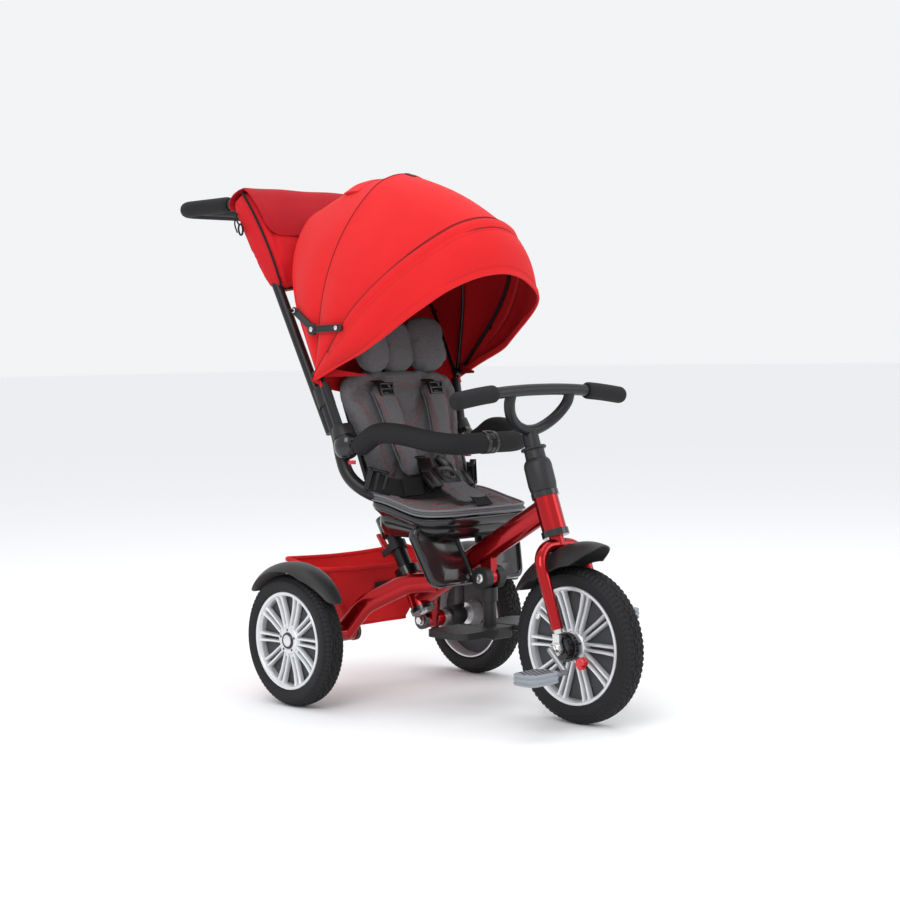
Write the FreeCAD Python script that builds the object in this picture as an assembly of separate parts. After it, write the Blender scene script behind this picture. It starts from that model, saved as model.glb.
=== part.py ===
import FreeCAD, Part
import math
import os

# Push-along children's tricycle with canopy, millimetres.
# +Z is up, the tricycle faces -Y, its right-hand side is -X.
# Every height is above the ground. Lengths along Y are counted from the rear axle
# and moved at export, so that the origin is under the middle of the overall length.

Vec = FreeCAD.Vector

# ---- wheels -------------------------------------------------------------
rear_wheel_radius = 125.0
rear_rim_radius = 91.5
rear_track = 474.0
front_wheel_radius = 140.0
front_rim_radius = 105.0
tyre_width = 48.0
wheelbase = 508.0
rim_wall = 6.0
spoke_count = 10
spoke_width = 15.0
spoke_thickness = 6.0
hub_cap_radius = 14.0
rear_hub_radius = 22.0
hub_face_radius = 26.0
web_depth = 16.0
web_wall = 2.0
axle_radius = 5.0
running_clearance = 0.05
soft_gap = 0.5
rib_gap = 0.9

# ---- frame --------------------------------------------------------------
steer_tilt = 19.5
steer_foot_y = -424.0
steer_foot_z = 420.0
head_tube_radius = 22.5
head_tube_bottom = -84.0
head_tube_top = -22.0
column_radius = 13.0
main_tube_height = 44.0
main_tube_width = 36.0
main_tube_slope = 30.0
junction_y = -150.0
junction_z = 222.0
arm_height = 38.0
arm_width = 26.0
arm_end_x = 118.0
boss_radius = 17.0
boss_inner_x = 95.0
boss_outer_x = 140.0
seat_tube_lean = 30.8
seat_tube_radius = 21.0
seat_post_radius = 14.0
seat_tube_bottom_z = 170.0
seat_tube_top_z = 228.0
seat_axis_y = -57.0
seat_axis_z = 239.0
seat_collar_height = 17.0
clamp_z = 284.0
clamp_height = 16.0
clamp_wall = 5.0
lever_reach = 30.0
lever_half = 9.0
lug_half = 13.0
lever_pin = 2.0
lever_length = 46.0

# ---- fork and handlebar --------------------------------------------------
fork_leg_x = 58.0
fork_leg_radius = 11.0
fork_crown_z = 322.0
fender_radius_front = 170.0
fender_width_front = 82.0
fender_wall = 3.0
handlebar_half = 218.0
handlebar_z = 592.0
handlebar_drop = 15.0
handlebar_radius = 10.5
grip_radius = 14.5
grip_length = 103.0

# ---- pedals --------------------------------------------------------------
crank_throw_y = -37.0
crank_throw_z = -35.0
crank_rod_radius = 5.0
crank_plane_x = 76.0
pedal_centre_x = 150.0
pedal_length = 74.0
pedal_depth = 52.0
pedal_height = 20.0

# ---- footrest ------------------------------------------------------------
footrest_y = -284.0
footrest_z = 243.0
footrest_hub_radius = 21.0
footrest_hub_half = 25.0
footrest_drop = 104.0
foot_plate_span = 122.0
foot_plate_depth = 100.0
foot_plate_thickness = 12.0
foot_beam_half = 26.0
foot_beam_height = 22.0
foot_hinge_x = 33.0
foot_hinge_pin = 2.5
foot_hinge_half = 30.0
foot_lug_thickness = 3.0

# ---- seat ----------------------------------------------------------------
seat_half_width = 136.0
seat_front_y = -272.0
seat_rear_y = 12.0
seat_rim_z = 362.0
seat_shell_depth = 40.0
seat_pad_thickness = 18.0
back_lean = 18.0
back_foot_y = -118.0
back_foot_z = 401.0
back_height = 248.0
back_half_width = 140.0
back_taper = 26.0
back_shell_inset = 8.0
back_foot_half = 60.0
back_foot_depth = 44.0
back_pad_thickness = 30.0
back_shell_thickness = 8.0
head_half_width = 97.0
head_height = 104.0
head_thickness = 50.0
head_ahead = 34.0
calf_inner_x = 24.0
calf_outer_x = 138.0

# ---- push bar ------------------------------------------------------------
pole_x = 150.0
pole_lean = 28.6
pole_foot_y = 7.0
pole_foot_z = 552.0
pole_radius = 10.5
side_tube_radius = 13.0
push_handle_z = 966.0
push_handle_end_y = 455.0
push_grip_radius = 14.5

# ---- bumper bar ----------------------------------------------------------
bumper_joint_x = 152.0
bumper_joint_y = -74.0
bumper_joint_z = 486.0
bumper_front_y = -285.0
bumper_radius = 18.0
button_travel = 2.5

# ---- canopy --------------------------------------------------------------
canopy_pivot_y = -18.0
canopy_pivot_z = 622.0
rear_hoop_lean = 25.0
mid_hoop_lean = -8.5
front_hoop_lean = -43.5
visor_lean = -62.0
rear_hoop_reach = 366.0
mid_hoop_reach = 388.0
front_hoop_reach = 396.0
visor_reach = 384.0
hoop_leg = 110.0
rear_hoop_half = 182.0
mid_hoop_half = 189.0
front_hoop_half = 196.0
visor_half = 184.0
hoop_crown_radius = 126.0
rib_radius = 3.5
fabric_thickness = 2.4
curtain_foot = -24.0
curtain_low_y = 38.0
curtain_high_y = 152.0
curtain_back_half = 100.0
panel_foot = 30.0
visor_foot = 78.0
seam_gap = 0.35
hinge_pin_radius = 3.0
brace_x = 200.0
brace_plate = 4.0
brace_hole = 8.0
brace_eye_radius = 7.5
brace_rear_reach = 137.0
brace_front_reach = 122.0
brace_elbow_y = -33.0
brace_elbow_z = 709.0
canopy_post_x = 158.0
canopy_post_gap = 38.0
canopy_post_radius = 9.0

# ---- basket and bag ------------------------------------------------------
basket_top_half = 158.0
basket_bottom_half = 74.0
basket_front_y = 2.0
basket_rear_y = 128.0
basket_top_z = 262.0
basket_bottom_z = 128.0
basket_wall = 3.0
bag_top_half = 178.0
bag_bottom_half = 160.0
bag_ahead = 28.0
bag_depth = 58.0
bag_height = 205.0
bag_top_z = 968.0
bag_gap = 1.0

overall_front = -wheelbase - front_wheel_radius
overall_rear = push_handle_end_y + push_grip_radius
shift_y = -(overall_front + overall_rear) / 2.0


# ---- helpers -------------------------------------------------------------
def save(name, *solids):
    shape = solids[0] if len(solids) == 1 else Part.makeCompound(list(solids))
    shape = shape.copy()
    shape.translate(Vec(0, shift_y, 0))
    shape.exportStep("parts/" + name + ".step")


def rod(start, end, radius):
    axis = end - start
    return Part.makeCylinder(radius, axis.Length, start, axis)


def sleeve(start, end, outer, inner):
    return rod(start, end, outer).cut(rod(start, end, inner))


def mirrored(shape):
    return shape.mirror(Vec(0, 0, 0), Vec(1, 0, 0))


def path_wire(points, bends):
    # Straight runs joined by tangent arcs; bends holds one radius per inner point.
    edges = []
    start = points[0]
    for corner, after, radius in zip(points[1:-1], points[2:], bends):
        back = (start - corner).normalize()
        ahead = (after - corner).normalize()
        half = back.getAngle(ahead) / 2.0
        reach = radius / math.tan(half)
        first = corner + back * reach
        last = corner + ahead * reach
        middle_way = (back + ahead).normalize()
        centre = corner + middle_way * (radius / math.sin(half))
        middle = centre - middle_way * radius
        if (first - start).Length > 0.01:
            edges.append(Part.LineSegment(start, first).toShape())
        edges.append(Part.Arc(first, middle, last).toShape())
        start = last
    edges.append(Part.LineSegment(start, points[-1]).toShape())
    return Part.Wire(edges)


def swept(points, bends, section):
    return path_wire(points, bends).makePipeShell([section], True, False)


def round_section(points, radius):
    circle = Part.Circle(points[0], points[1] - points[0], radius)
    return Part.Wire([circle.toShape()])


def tube(points, bends, radius):
    return swept(points, bends, round_section(points, radius))


def slab(low, high, edge_radius=0.0):
    size = high - low
    box = Part.makeBox(size.x, size.y, size.z, low)
    if edge_radius > 0.0:
        box = box.makeFillet(edge_radius, box.Edges)
    return box


def turned(profile, centre, axis):
    # profile: (distance along axis, radius) pairs, closed by the last point.
    side = Vec(0, 0, 1) if abs(axis.z) < 0.9 else Vec(0, 1, 0)
    side = (side - axis * side.dot(axis)).normalize()
    points = [centre + axis * along + side * radius for along, radius in profile]
    points.append(points[0])
    face = Part.Face(Part.makePolygon(points))
    return face.revolve(centre, axis, 360)


def along_lean(foot, lean, distance):
    # A point at a distance up a line that leans back from the vertical.
    angle = math.radians(lean)
    return foot + Vec(0, math.sin(angle), math.cos(angle)) * distance


def steer_point(distance, x=0.0):
    foot = Vec(x, steer_foot_y, steer_foot_z)
    return along_lean(foot, steer_tilt, distance)


def seat_point(height_z, x=0.0):
    foot = Vec(x, seat_axis_y, seat_axis_z)
    rise = (height_z - seat_axis_z) / math.cos(math.radians(seat_tube_lean))
    return along_lean(foot, seat_tube_lean, rise)


def pole_point(height_z, x):
    foot = Vec(x, pole_foot_y, pole_foot_z)
    rise = (height_z - pole_foot_z) / math.cos(math.radians(pole_lean))
    return along_lean(foot, pole_lean, rise)


# ---- wheels --------------------------------------------------------------
def tyre(centre, radius, rim):
    half = tyre_width / 2.0
    tread = half * 0.62
    shoulder = radius - 9.0
    profile = [(-half + 6, rim + 0.4), (-half + 1, rim + 7), (-half, (rim + radius) / 2.0),
               (-half + 3, shoulder), (-tread, radius - 2.5), (0, radius), (tread, radius - 2.5),
               (half - 3, shoulder), (half, (rim + radius) / 2.0), (half - 1, rim + 7),
               (half - 6, rim + 0.4)]
    return turned(profile, centre, Vec(1, 0, 0))


def spoked_rim(centre, rim, hub_bore, outward):
    # Three solids: the barrel, the cover with its ten broad spokes, and the hub.
    half = tyre_width / 2.0 - 2.0
    axis = Vec(outward, 0, 0)
    inside = rim - rim_wall
    barrel = turned([(-half, rim), (half, rim), (half, inside), (-half, inside)], centre, axis)
    hub = turned([(-half, hub_bore), (half - 4, hub_bore), (half - 4, hub_face_radius),
                  (half - web_depth, hub_face_radius), (-half + 6, rear_hub_radius),
                  (-half, rear_hub_radius)], centre, axis)
    web_back = half - web_depth
    cover = turned([(web_back, hub_face_radius), (web_back + web_wall, hub_face_radius),
                    (web_back + web_wall, inside), (web_back, inside)], centre, axis)
    spokes = []
    for index in range(spoke_count):
        low = Vec(web_back + web_wall, -spoke_width / 2.0, rear_hub_radius)
        spoke = Part.makeBox(2.0 * spoke_thickness, spoke_width, rim - rear_hub_radius, low)
        spoke.rotate(Vec(0, 0, 0), Vec(1, 0, 0), index * 360.0 / spoke_count)
        if outward < 0:
            spoke = mirrored(spoke)
        spoke.translate(centre)
        spokes.append(spoke)
    room = sleeve(centre - axis * half, centre + axis * half, inside, hub_face_radius)
    cover = cover.fuse([spoke.common(room) for spoke in spokes])
    return [barrel, cover, hub]


def rear_wheels():
    for side, word in ((-1, "right"), (1, "left")):
        centre = Vec(side * rear_track / 2.0, 0, rear_wheel_radius)
        outward = Vec(side, 0, 0)
        half = tyre_width / 2.0 - 2.0
        save("rear_tyre_" + word, tyre(centre, rear_wheel_radius, rear_rim_radius))
        cap = rod(centre + outward * (half - 4), centre + outward * (half + 2), hub_cap_radius)
        bore = axle_radius + running_clearance
        save("rear_rim_" + word, *spoked_rim(centre, rear_rim_radius, bore, side), cap)


def rear_axles():
    axles = []
    for side in (-1, 1):
        inner = Vec(side * (boss_outer_x - 20), 0, rear_wheel_radius)
        outer = Vec(side * (rear_track / 2.0 + tyre_width / 2.0 - 7.0), 0, rear_wheel_radius)
        collar_start = Vec(side * boss_outer_x, 0, rear_wheel_radius)
        collar_end = Vec(side * (rear_track / 2.0 - tyre_width / 2.0 + 1.5), 0, rear_wheel_radius)
        axles.append(rod(inner, outer, axle_radius).fuse(rod(collar_start, collar_end, 14.0)))
    save("rear_axles", *axles)


# ---- frame ---------------------------------------------------------------
def oval_section(origin, along, width, height):
    side = Vec(1, 0, 0)
    side = (side - along * side.dot(along)).normalize()
    up = along.cross(side).normalize()
    if up.z < 0:
        up = up * -1
    ellipse = Part.Ellipse(origin + up * (height / 2.0), origin + side * (width / 2.0), origin)
    return Part.Wire([ellipse.toShape()])


def main_frame():
    slope = math.radians(main_tube_slope)
    head = steer_point((head_tube_bottom + head_tube_top) / 2.0 + 12.0)
    low = Vec(0, junction_y, junction_z)
    along = (low - head).normalize()
    start = head + along * 8.0
    end = low + along * 60.0
    spar = Part.Face(oval_section(start, along, main_tube_width, main_tube_height))
    spar = spar.extrude(end - start)
    bore = rod(steer_point(head_tube_bottom - 20), steer_point(head_tube_top + 20), head_tube_radius)
    head_tube = sleeve(steer_point(head_tube_bottom), steer_point(head_tube_top),
                       head_tube_radius, column_radius + running_clearance)
    save("head_tube", head_tube)
    seat_clear = rod(seat_point(seat_tube_bottom_z - 10), seat_point(seat_tube_top_z + 40),
                     seat_tube_radius)
    low = seat_point(seat_tube_bottom_z)
    high = seat_point(seat_tube_top_z)
    axis = (high - low).normalize()
    tube_cap = rod(low - axis * 9.0, low, seat_tube_radius + 3.0)
    spar = spar.cut(bore).cut(seat_clear).cut(tube_cap)
    spar = max(spar.Solids, key=lambda solid: solid.Volume)
    save("main_tube", spar)
    arms = []
    arm_path = [Vec(10, -152, 224), Vec(40, -98, 219), Vec(92, -36, 180),
                Vec(arm_end_x, 0, rear_wheel_radius)]
    along = (arm_path[1] - arm_path[0]).normalize()
    section = oval_section(arm_path[0], along, arm_width, arm_height)
    arm = swept(arm_path, [90.0, 70.0], section)
    boss = rod(Vec(boss_inner_x, 0, rear_wheel_radius), Vec(boss_outer_x, 0, rear_wheel_radius),
               boss_radius)
    axle_hole = rod(Vec(boss_outer_x - 20, 0, rear_wheel_radius),
                    Vec(boss_outer_x + 30, 0, rear_wheel_radius), axle_radius)
    arm = arm.fuse(boss).cut(axle_hole).cut(seat_clear)
    arm = arm.cut(spar).cut(tube_cap)
    keep = Part.makeBox(400, 400, 400, Vec(0, -300, 0))
    arm = arm.common(keep)
    arm = max(arm.Solids, key=lambda solid: solid.Volume)
    save("rear_arms", arm, mirrored(arm))
    caps = []
    for side in (-1, 1):
        face = Vec(side * boss_inner_x, 0, rear_wheel_radius)
        inward = Vec(-side, 0, 0)
        caps.append(rod(face, face + inward * 8.0, boss_radius + 1.5))
    collar = sleeve(high, high + axis * seat_collar_height, seat_tube_radius + 4.0,
                    seat_post_radius + running_clearance)
    save("frame_caps", *caps, tube_cap, collar)


def seat_tube_parts():
    low = seat_point(seat_tube_bottom_z)
    high = seat_point(seat_tube_top_z)
    save("seat_tube", sleeve(low, high, seat_tube_radius, seat_post_radius + running_clearance))


def seat_clamp_parts():
    # A collar gripped on the post under the seat, with a lever that swings back to free it.
    middle = seat_point(clamp_z)
    axis = (seat_point(clamp_z + 1.0) - middle).normalize()
    half = axis * (clamp_height / 2.0)
    outer = seat_post_radius + clamp_wall
    collar = sleeve(middle - half, middle + half, outer, seat_post_radius)
    across = Vec(0, axis.z, -axis.y)
    pivot = middle + across * lever_reach
    lug = slab(Vec(-lug_half, -lever_reach, -6), Vec(lug_half, 6, 6))
    lug.rotate(Vec(0, 0, 0), Vec(1, 0, 0), -seat_tube_lean)
    lug.translate(pivot)
    lug = lug.cut(rod(middle - axis * 40.0, middle + axis * 40.0, outer))
    slot = slab(Vec(-lever_half - 0.4, -8.5, -40.0), Vec(lever_half + 0.4, 40.0, 40.0))
    slot.rotate(Vec(0, 0, 0), Vec(1, 0, 0), -seat_tube_lean)
    slot.translate(pivot)
    lug = max(lug.cut(slot).Solids, key=lambda solid: solid.Volume)
    pin = rod(pivot - Vec(lug_half, 0, 0), pivot + Vec(lug_half, 0, 0), lever_pin)
    save("seat_clamp", collar, lug.fuse(pin))
    hole = rod(pivot - Vec(lug_half, 0, 0), pivot + Vec(lug_half, 0, 0), lever_pin + running_clearance)
    barrel = rod(pivot - Vec(lever_half, 0, 0), pivot + Vec(lever_half, 0, 0), 6.0)
    neck = slab(pivot + Vec(-5, -3.5, 0.0), pivot + Vec(5, 3.5, 12.0))
    grip = slab(pivot + Vec(-7, -3.5, 8.0), pivot + Vec(7, 3.5, lever_length), 2.5)
    lever = barrel.fuse([neck, grip]).cut(hole)
    lever.rotate(pivot, Vec(1, 0, 0), -seat_tube_lean - 8.0)
    save("seat_lever", lever)


def headset():
    lower = sleeve(steer_point(head_tube_bottom - 12.0), steer_point(head_tube_bottom),
                   head_tube_radius + 2.5, column_radius + running_clearance)
    upper = sleeve(steer_point(head_tube_top), steer_point(head_tube_top + 10.0),
                   head_tube_radius + 2.5, column_radius + running_clearance)
    save("headset_rings", lower, upper)


def fender(centre, radius, width, start_angle, end_angle, drop):
    # Arched wing: a band of a torus-like section turned about the wheel's axis.
    half = width / 2.0
    outer = [(-half, radius - drop), (-half * 0.7, radius - drop * 0.35), (0, radius),
             (half * 0.7, radius - drop * 0.35), (half, radius - drop)]
    inner = [(along, reach - fender_wall) for along, reach in reversed(outer)]
    points = [centre + Vec(along, 0, reach) for along, reach in outer + inner]
    points.append(points[0])
    face = Part.Face(Part.makePolygon(points))
    face.rotate(centre, Vec(1, 0, 0), start_angle)
    return face.revolve(centre, Vec(1, 0, 0), end_angle - start_angle)


def rear_fenders():
    fenders = []
    for side in (-1, 1):
        centre = Vec(side * (rear_track / 2.0 - 3.0), 0, rear_wheel_radius)
        wing = fender(centre, rear_wheel_radius + 22.0, tyre_width + 22.0, -54.0, 56.0, 14.0)
        inner_x = rear_track / 2.0 - 3.0 - (tyre_width + 22.0) / 2.0
        stay_high = Vec(side * (inner_x - 2.5), 0, 2.0 * rear_wheel_radius + 6.0)
        post = slab(Vec(stay_high.x - 2.0, -12, rear_wheel_radius + 15.0),
                    Vec(stay_high.x + 2.0, 12, stay_high.z))
        foot = sleeve(Vec(side * 162.0, 0, rear_wheel_radius),
                      Vec(side * (inner_x - 0.5), 0, rear_wheel_radius), 21.0, 14.0)
        ring = foot.fuse(post)
        reach = slab(Vec(min(stay_high.x - 2, side * (inner_x + 3)), -12, stay_high.z - 4),
                     Vec(max(stay_high.x + 2, side * (inner_x + 3)), 12, stay_high.z))
        fenders.append(wing.fuse([ring, reach]))
    save("rear_fenders", *fenders)


# ---- steering ------------------------------------------------------------
def fork_parts():
    axle = Vec(0, -wheelbase, front_wheel_radius)
    crown_d = (fork_crown_z - steer_foot_z) / math.cos(math.radians(steer_tilt))
    leg_low_z = front_wheel_radius + 34.0
    low_d = (leg_low_z - steer_foot_z) / math.cos(math.radians(steer_tilt))
    points = [steer_point(low_d, -fork_leg_x), steer_point(crown_d - 7.0, -fork_leg_x),
              steer_point(crown_d - 7.0, fork_leg_x), steer_point(low_d, fork_leg_x)]
    bow = tube(points, [40.0, 40.0], fork_leg_radius)
    column = rod(steer_point(crown_d - 10.0), steer_point(64.0), column_radius)
    fork = bow.fuse(column)
    save("fork", fork)
    tips = []
    for side in (-1, 1):
        top = steer_point(low_d, side * fork_leg_x)
        seat = rod(top, steer_point(low_d - 8.0, side * fork_leg_x), 8.0)
        axis = Vec(side, 0, 0)
        plate = rod(Vec(side * 55.0, axle.y, axle.z), Vec(side * 61.0, axle.y, axle.z), 13.0)
        arm = slab(Vec(min(side * 55.0, side * 61.0), axle.y - 9, axle.z),
                   Vec(max(side * 55.0, side * 61.0), axle.y + 7, top.z - 8.0))
        hole = rod(Vec(side * 50.0, axle.y, axle.z), Vec(side * 66.0, axle.y, axle.z),
                   axle_radius + running_clearance)
        tips.append(seat.fuse([plate, arm]).cut(hole))
    save("fork_tips", *tips)
    up = steer_point(1.0) - steer_point(0.0)
    stem = turned([(-11.5, column_radius), (-11.5, 24.0), (0.0, 26.0), (30.0, 25.0), (44.0, 19.0),
                   (50.0, 15.5), (50.0, column_radius)], steer_point(0.0), up)
    neck = turned([(50.3, column_radius), (50.3, 15.0), (64.0, 15.0), (64.0, 22.0), (70.0, 22.0),
                   (70.0, 15.0), (92.0, 14.0), (92.0, 0.0), (64.2, 0.0), (64.2, column_radius)],
                  steer_point(0.0), up)
    save("stem", stem, neck)
    bar_y = steer_foot_y
    ends = [Vec(-handlebar_half, bar_y, handlebar_z - handlebar_drop),
            Vec(-handlebar_half * 0.45, bar_y, handlebar_z), Vec(handlebar_half * 0.45, bar_y, handlebar_z),
            Vec(handlebar_half, bar_y, handlebar_z - handlebar_drop)]
    bar = tube(ends, [160.0, 160.0], handlebar_radius)
    stem_top = steer_point(98.0)
    brace_points = [Vec(-92.0, bar_y, handlebar_z), Vec(-70.0, stem_top.y - 12, stem_top.z + 22),
                    Vec(-28.0, stem_top.y, stem_top.z), Vec(28.0, stem_top.y, stem_top.z),
                    Vec(70.0, stem_top.y - 12, stem_top.z + 22), Vec(92.0, bar_y, handlebar_z)]
    brace = tube(brace_points, [30.0, 34.0, 34.0, 30.0], 9.5)
    bar = bar.fuse(brace).cut(rod(steer_point(40.0), steer_point(92.0), 30.0))
    save("handlebar", bar)
    grips = []
    for side in (-1, 1):
        outer = Vec(side * handlebar_half, bar_y, handlebar_z - handlebar_drop)
        inner = Vec(side * handlebar_half * 0.45, bar_y, handlebar_z)
        along = (inner - outer).normalize()
        start = outer - along * 3.0
        body = rod(start, outer + along * grip_length, grip_radius)
        bore = rod(outer, outer + along * (grip_length + 1), handlebar_radius + running_clearance)
        grips.append(body.cut(bore))
    save("grips", *grips)
    wing = fender(Vec(0, axle.y, axle.z), fender_radius_front, fender_width_front, -58.0, 24.0, 22.0)
    crown = steer_point(crown_d)
    tab = slab(Vec(-12, crown.y - 6, crown.z - 22), Vec(12, crown.y + 8, crown.z - 8))
    wing = wing.fuse(tab).cut(fork)
    save("front_fender", max(wing.Solids, key=lambda solid: solid.Volume))


def front_wheel_parts():
    axle = Vec(0, -wheelbase, front_wheel_radius)
    save("front_tyre", tyre(axle, front_wheel_radius, front_rim_radius))
    save("front_rim", *spoked_rim(axle, front_rim_radius, 14.0, -1))
    half = tyre_width / 2.0 - 2.0
    hub = turned([(-52.0, axle_radius + running_clearance), (-52.0, 23.0), (-half - 0.8, 23.0),
                  (-half - 0.8, 13.8), (half, 13.8), (half + 0.8, 20.0), (46.0, 20.0),
                  (46.0, axle_radius + running_clearance)], axle, Vec(1, 0, 0))
    save("front_hub", hub)
    clutch = turned([(-40.0, 23.2), (-40.0, 27.0), (-26.0, 27.0), (-26.0, 23.2)], axle, Vec(1, 0, 0))
    finger = slab(axle + Vec(-40.0, -52.0, -8.0), axle + Vec(-26.0, -25.0, 8.0), 3.0)
    finger.rotate(axle, Vec(1, 0, 0), 35.0)
    bore = rod(axle + Vec(-60, 0, 0), axle + Vec(0, 0, 0), 23.0 + running_clearance)
    save("clutch_lever", clutch.fuse(finger).cut(bore))


def pedals():
    axle = Vec(0, -wheelbase, front_wheel_radius)
    throw = Vec(0, crank_throw_y, crank_throw_z)
    rods = [rod(axle + Vec(-crank_plane_x, 0, 0), axle + Vec(crank_plane_x, 0, 0), axle_radius)]
    for side in (-1, 1):
        elbow = axle + Vec(side * crank_plane_x, 0, 0)
        knee = elbow + throw * -side
        tip = knee + Vec(side * (pedal_centre_x + pedal_length / 2.0 - 2.0 - crank_plane_x), 0, 0)
        rods.append(rod(elbow, knee, crank_rod_radius))
        rods.append(rod(knee, tip, crank_rod_radius))
        rods.append(Part.makeSphere(crank_rod_radius, elbow))
        rods.append(Part.makeSphere(crank_rod_radius, knee))
        middle = axle + Vec(side * pedal_centre_x, 0, 0) + throw * -side
        low = middle - Vec(pedal_length / 2.0, pedal_depth / 2.0, pedal_height / 2.0)
        high = middle + Vec(pedal_length / 2.0, pedal_depth / 2.0, pedal_height / 2.0)
        block = Part.makeBox(pedal_length, pedal_depth, pedal_height, low)
        block = block.makeFillet(12.0, [edge for edge in block.Edges if edge.Length == pedal_height])
        bore = rod(middle - Vec(pedal_length, 0, 0), middle + Vec(pedal_length, 0, 0),
                   crank_rod_radius + running_clearance)
        word = "right" if side < 0 else "left"
        save("pedal_" + word, block.cut(bore))
    crank = rods[0].fuse(rods[1:])
    save("crank", crank)


# ---- footrest ------------------------------------------------------------
def footrest():
    hub_centre = Vec(0, footrest_y, footrest_z)
    start = hub_centre - Vec(footrest_hub_half, 0, 0)
    end = hub_centre + Vec(footrest_hub_half, 0, 0)
    pin_radius = 6.0
    lug = slab(hub_centre + Vec(-8, -13, 0), hub_centre + Vec(8, 13, 44))
    lug = lug.fuse(rod(hub_centre - Vec(8, 0, 0), hub_centre + Vec(8, 0, 0), 17.0))
    pin = rod(hub_centre - Vec(18, 0, 0), hub_centre + Vec(18, 0, 0), pin_radius)
    head = steer_point((head_tube_bottom + head_tube_top) / 2.0 + 12.0)
    low = Vec(0, junction_y, junction_z)
    along = (low - head).normalize()
    spar = Part.Face(oval_section(head, along, main_tube_width, main_tube_height)).extrude(low - head)
    save("footrest_bracket", lug.fuse(pin).cut(spar))
    hub = rod(start, end, footrest_hub_radius)
    slot = slab(hub_centre + Vec(-8.3, -30, -18.0), hub_centre + Vec(8.3, 30, 60))
    round_slot = rod(hub_centre - Vec(8.3, 0, 0), hub_centre + Vec(8.3, 0, 0), 17.3)
    bore = rod(hub_centre - Vec(18.3, 0, 0), hub_centre + Vec(18.3, 0, 0), pin_radius + running_clearance)
    socket = rod(hub_centre - Vec(0, 0, 18.3), hub_centre - Vec(0, 0, 44), 15.5)
    post = rod(hub_centre - Vec(0, 0, 40), hub_centre - Vec(0, 0, footrest_drop), 12.5)
    beam_top = footrest_z - footrest_drop + 14.0
    beam = slab(Vec(-foot_beam_half, footrest_y - 34, beam_top - foot_beam_height),
                Vec(foot_beam_half, footrest_y + 34, beam_top), 3.0)
    hinge_z = beam_top - 5.0
    lugs = []
    for side in (-1, 1):
        hinge = Vec(side * foot_hinge_x, footrest_y, hinge_z)
        lugs.append(rod(hinge - Vec(0, foot_hinge_half + 1, 0), hinge + Vec(0, foot_hinge_half + 1, 0),
                        foot_hinge_pin))
        for end in (-1, 1):
            near = footrest_y + end * foot_hinge_half
            far = near + end * foot_lug_thickness
            low_x, high_x = sorted((side * (foot_beam_half - 3.5), side * (foot_hinge_x + 4.0)))
            lugs.append(slab(Vec(low_x, min(near, far), hinge_z - 4),
                             Vec(high_x, max(near, far), hinge_z + 4)))
    shape = hub.cut(slot).cut(round_slot).cut(bore).fuse([socket, post, beam] + lugs)
    save("footrest_post", shape)
    for side, word in ((-1, "right"), (1, "left")):
        hinge = Vec(side * foot_hinge_x, footrest_y, hinge_z)
        low_x, high_x = sorted((side * foot_hinge_x, side * foot_plate_span))
        half_depth = foot_plate_depth / 2.0
        half_high = foot_plate_thickness / 2.0
        plate = Part.makeBox(high_x - low_x, foot_plate_depth, foot_plate_thickness,
                             Vec(low_x, footrest_y - half_depth, hinge_z - half_high))
        corners = [edge for edge in plate.Edges if edge.Length == foot_plate_thickness
                   and abs(abs(edge.CenterOfMass.x) - foot_plate_span) < 1]
        plate = plate.makeFillet(22.0, corners)
        knuckle = rod(hinge - Vec(0, half_depth, 0), hinge + Vec(0, half_depth, 0), half_high)
        plate = plate.fuse(knuckle)
        for end in (-1, 1):
            near = hinge + Vec(0, end * (foot_hinge_half - 0.3), 0)
            far = hinge + Vec(0, end * (foot_hinge_half + foot_lug_thickness + 0.3), 0)
            plate = plate.cut(rod(near, far, half_high + 1.5))
        reach = Vec(0, foot_hinge_half + 2, 0)
        plate = plate.cut(rod(hinge - reach, hinge + reach, foot_hinge_pin + running_clearance))
        save("foot_plate_" + word, plate)


# ---- seat ----------------------------------------------------------------
def rounded_prism(half, front, rear, corner, low_z, high_z):
    block = Part.makeBox(2 * half, rear - front, high_z - low_z, Vec(-half, front, low_z))
    upright = [edge for edge in block.Edges if abs(edge.Length - (high_z - low_z)) < 1e-6
               and abs(edge.Vertexes[0].Point.z - edge.Vertexes[1].Point.z) > 1.0]
    return block.makeFillet(corner, upright)


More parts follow.
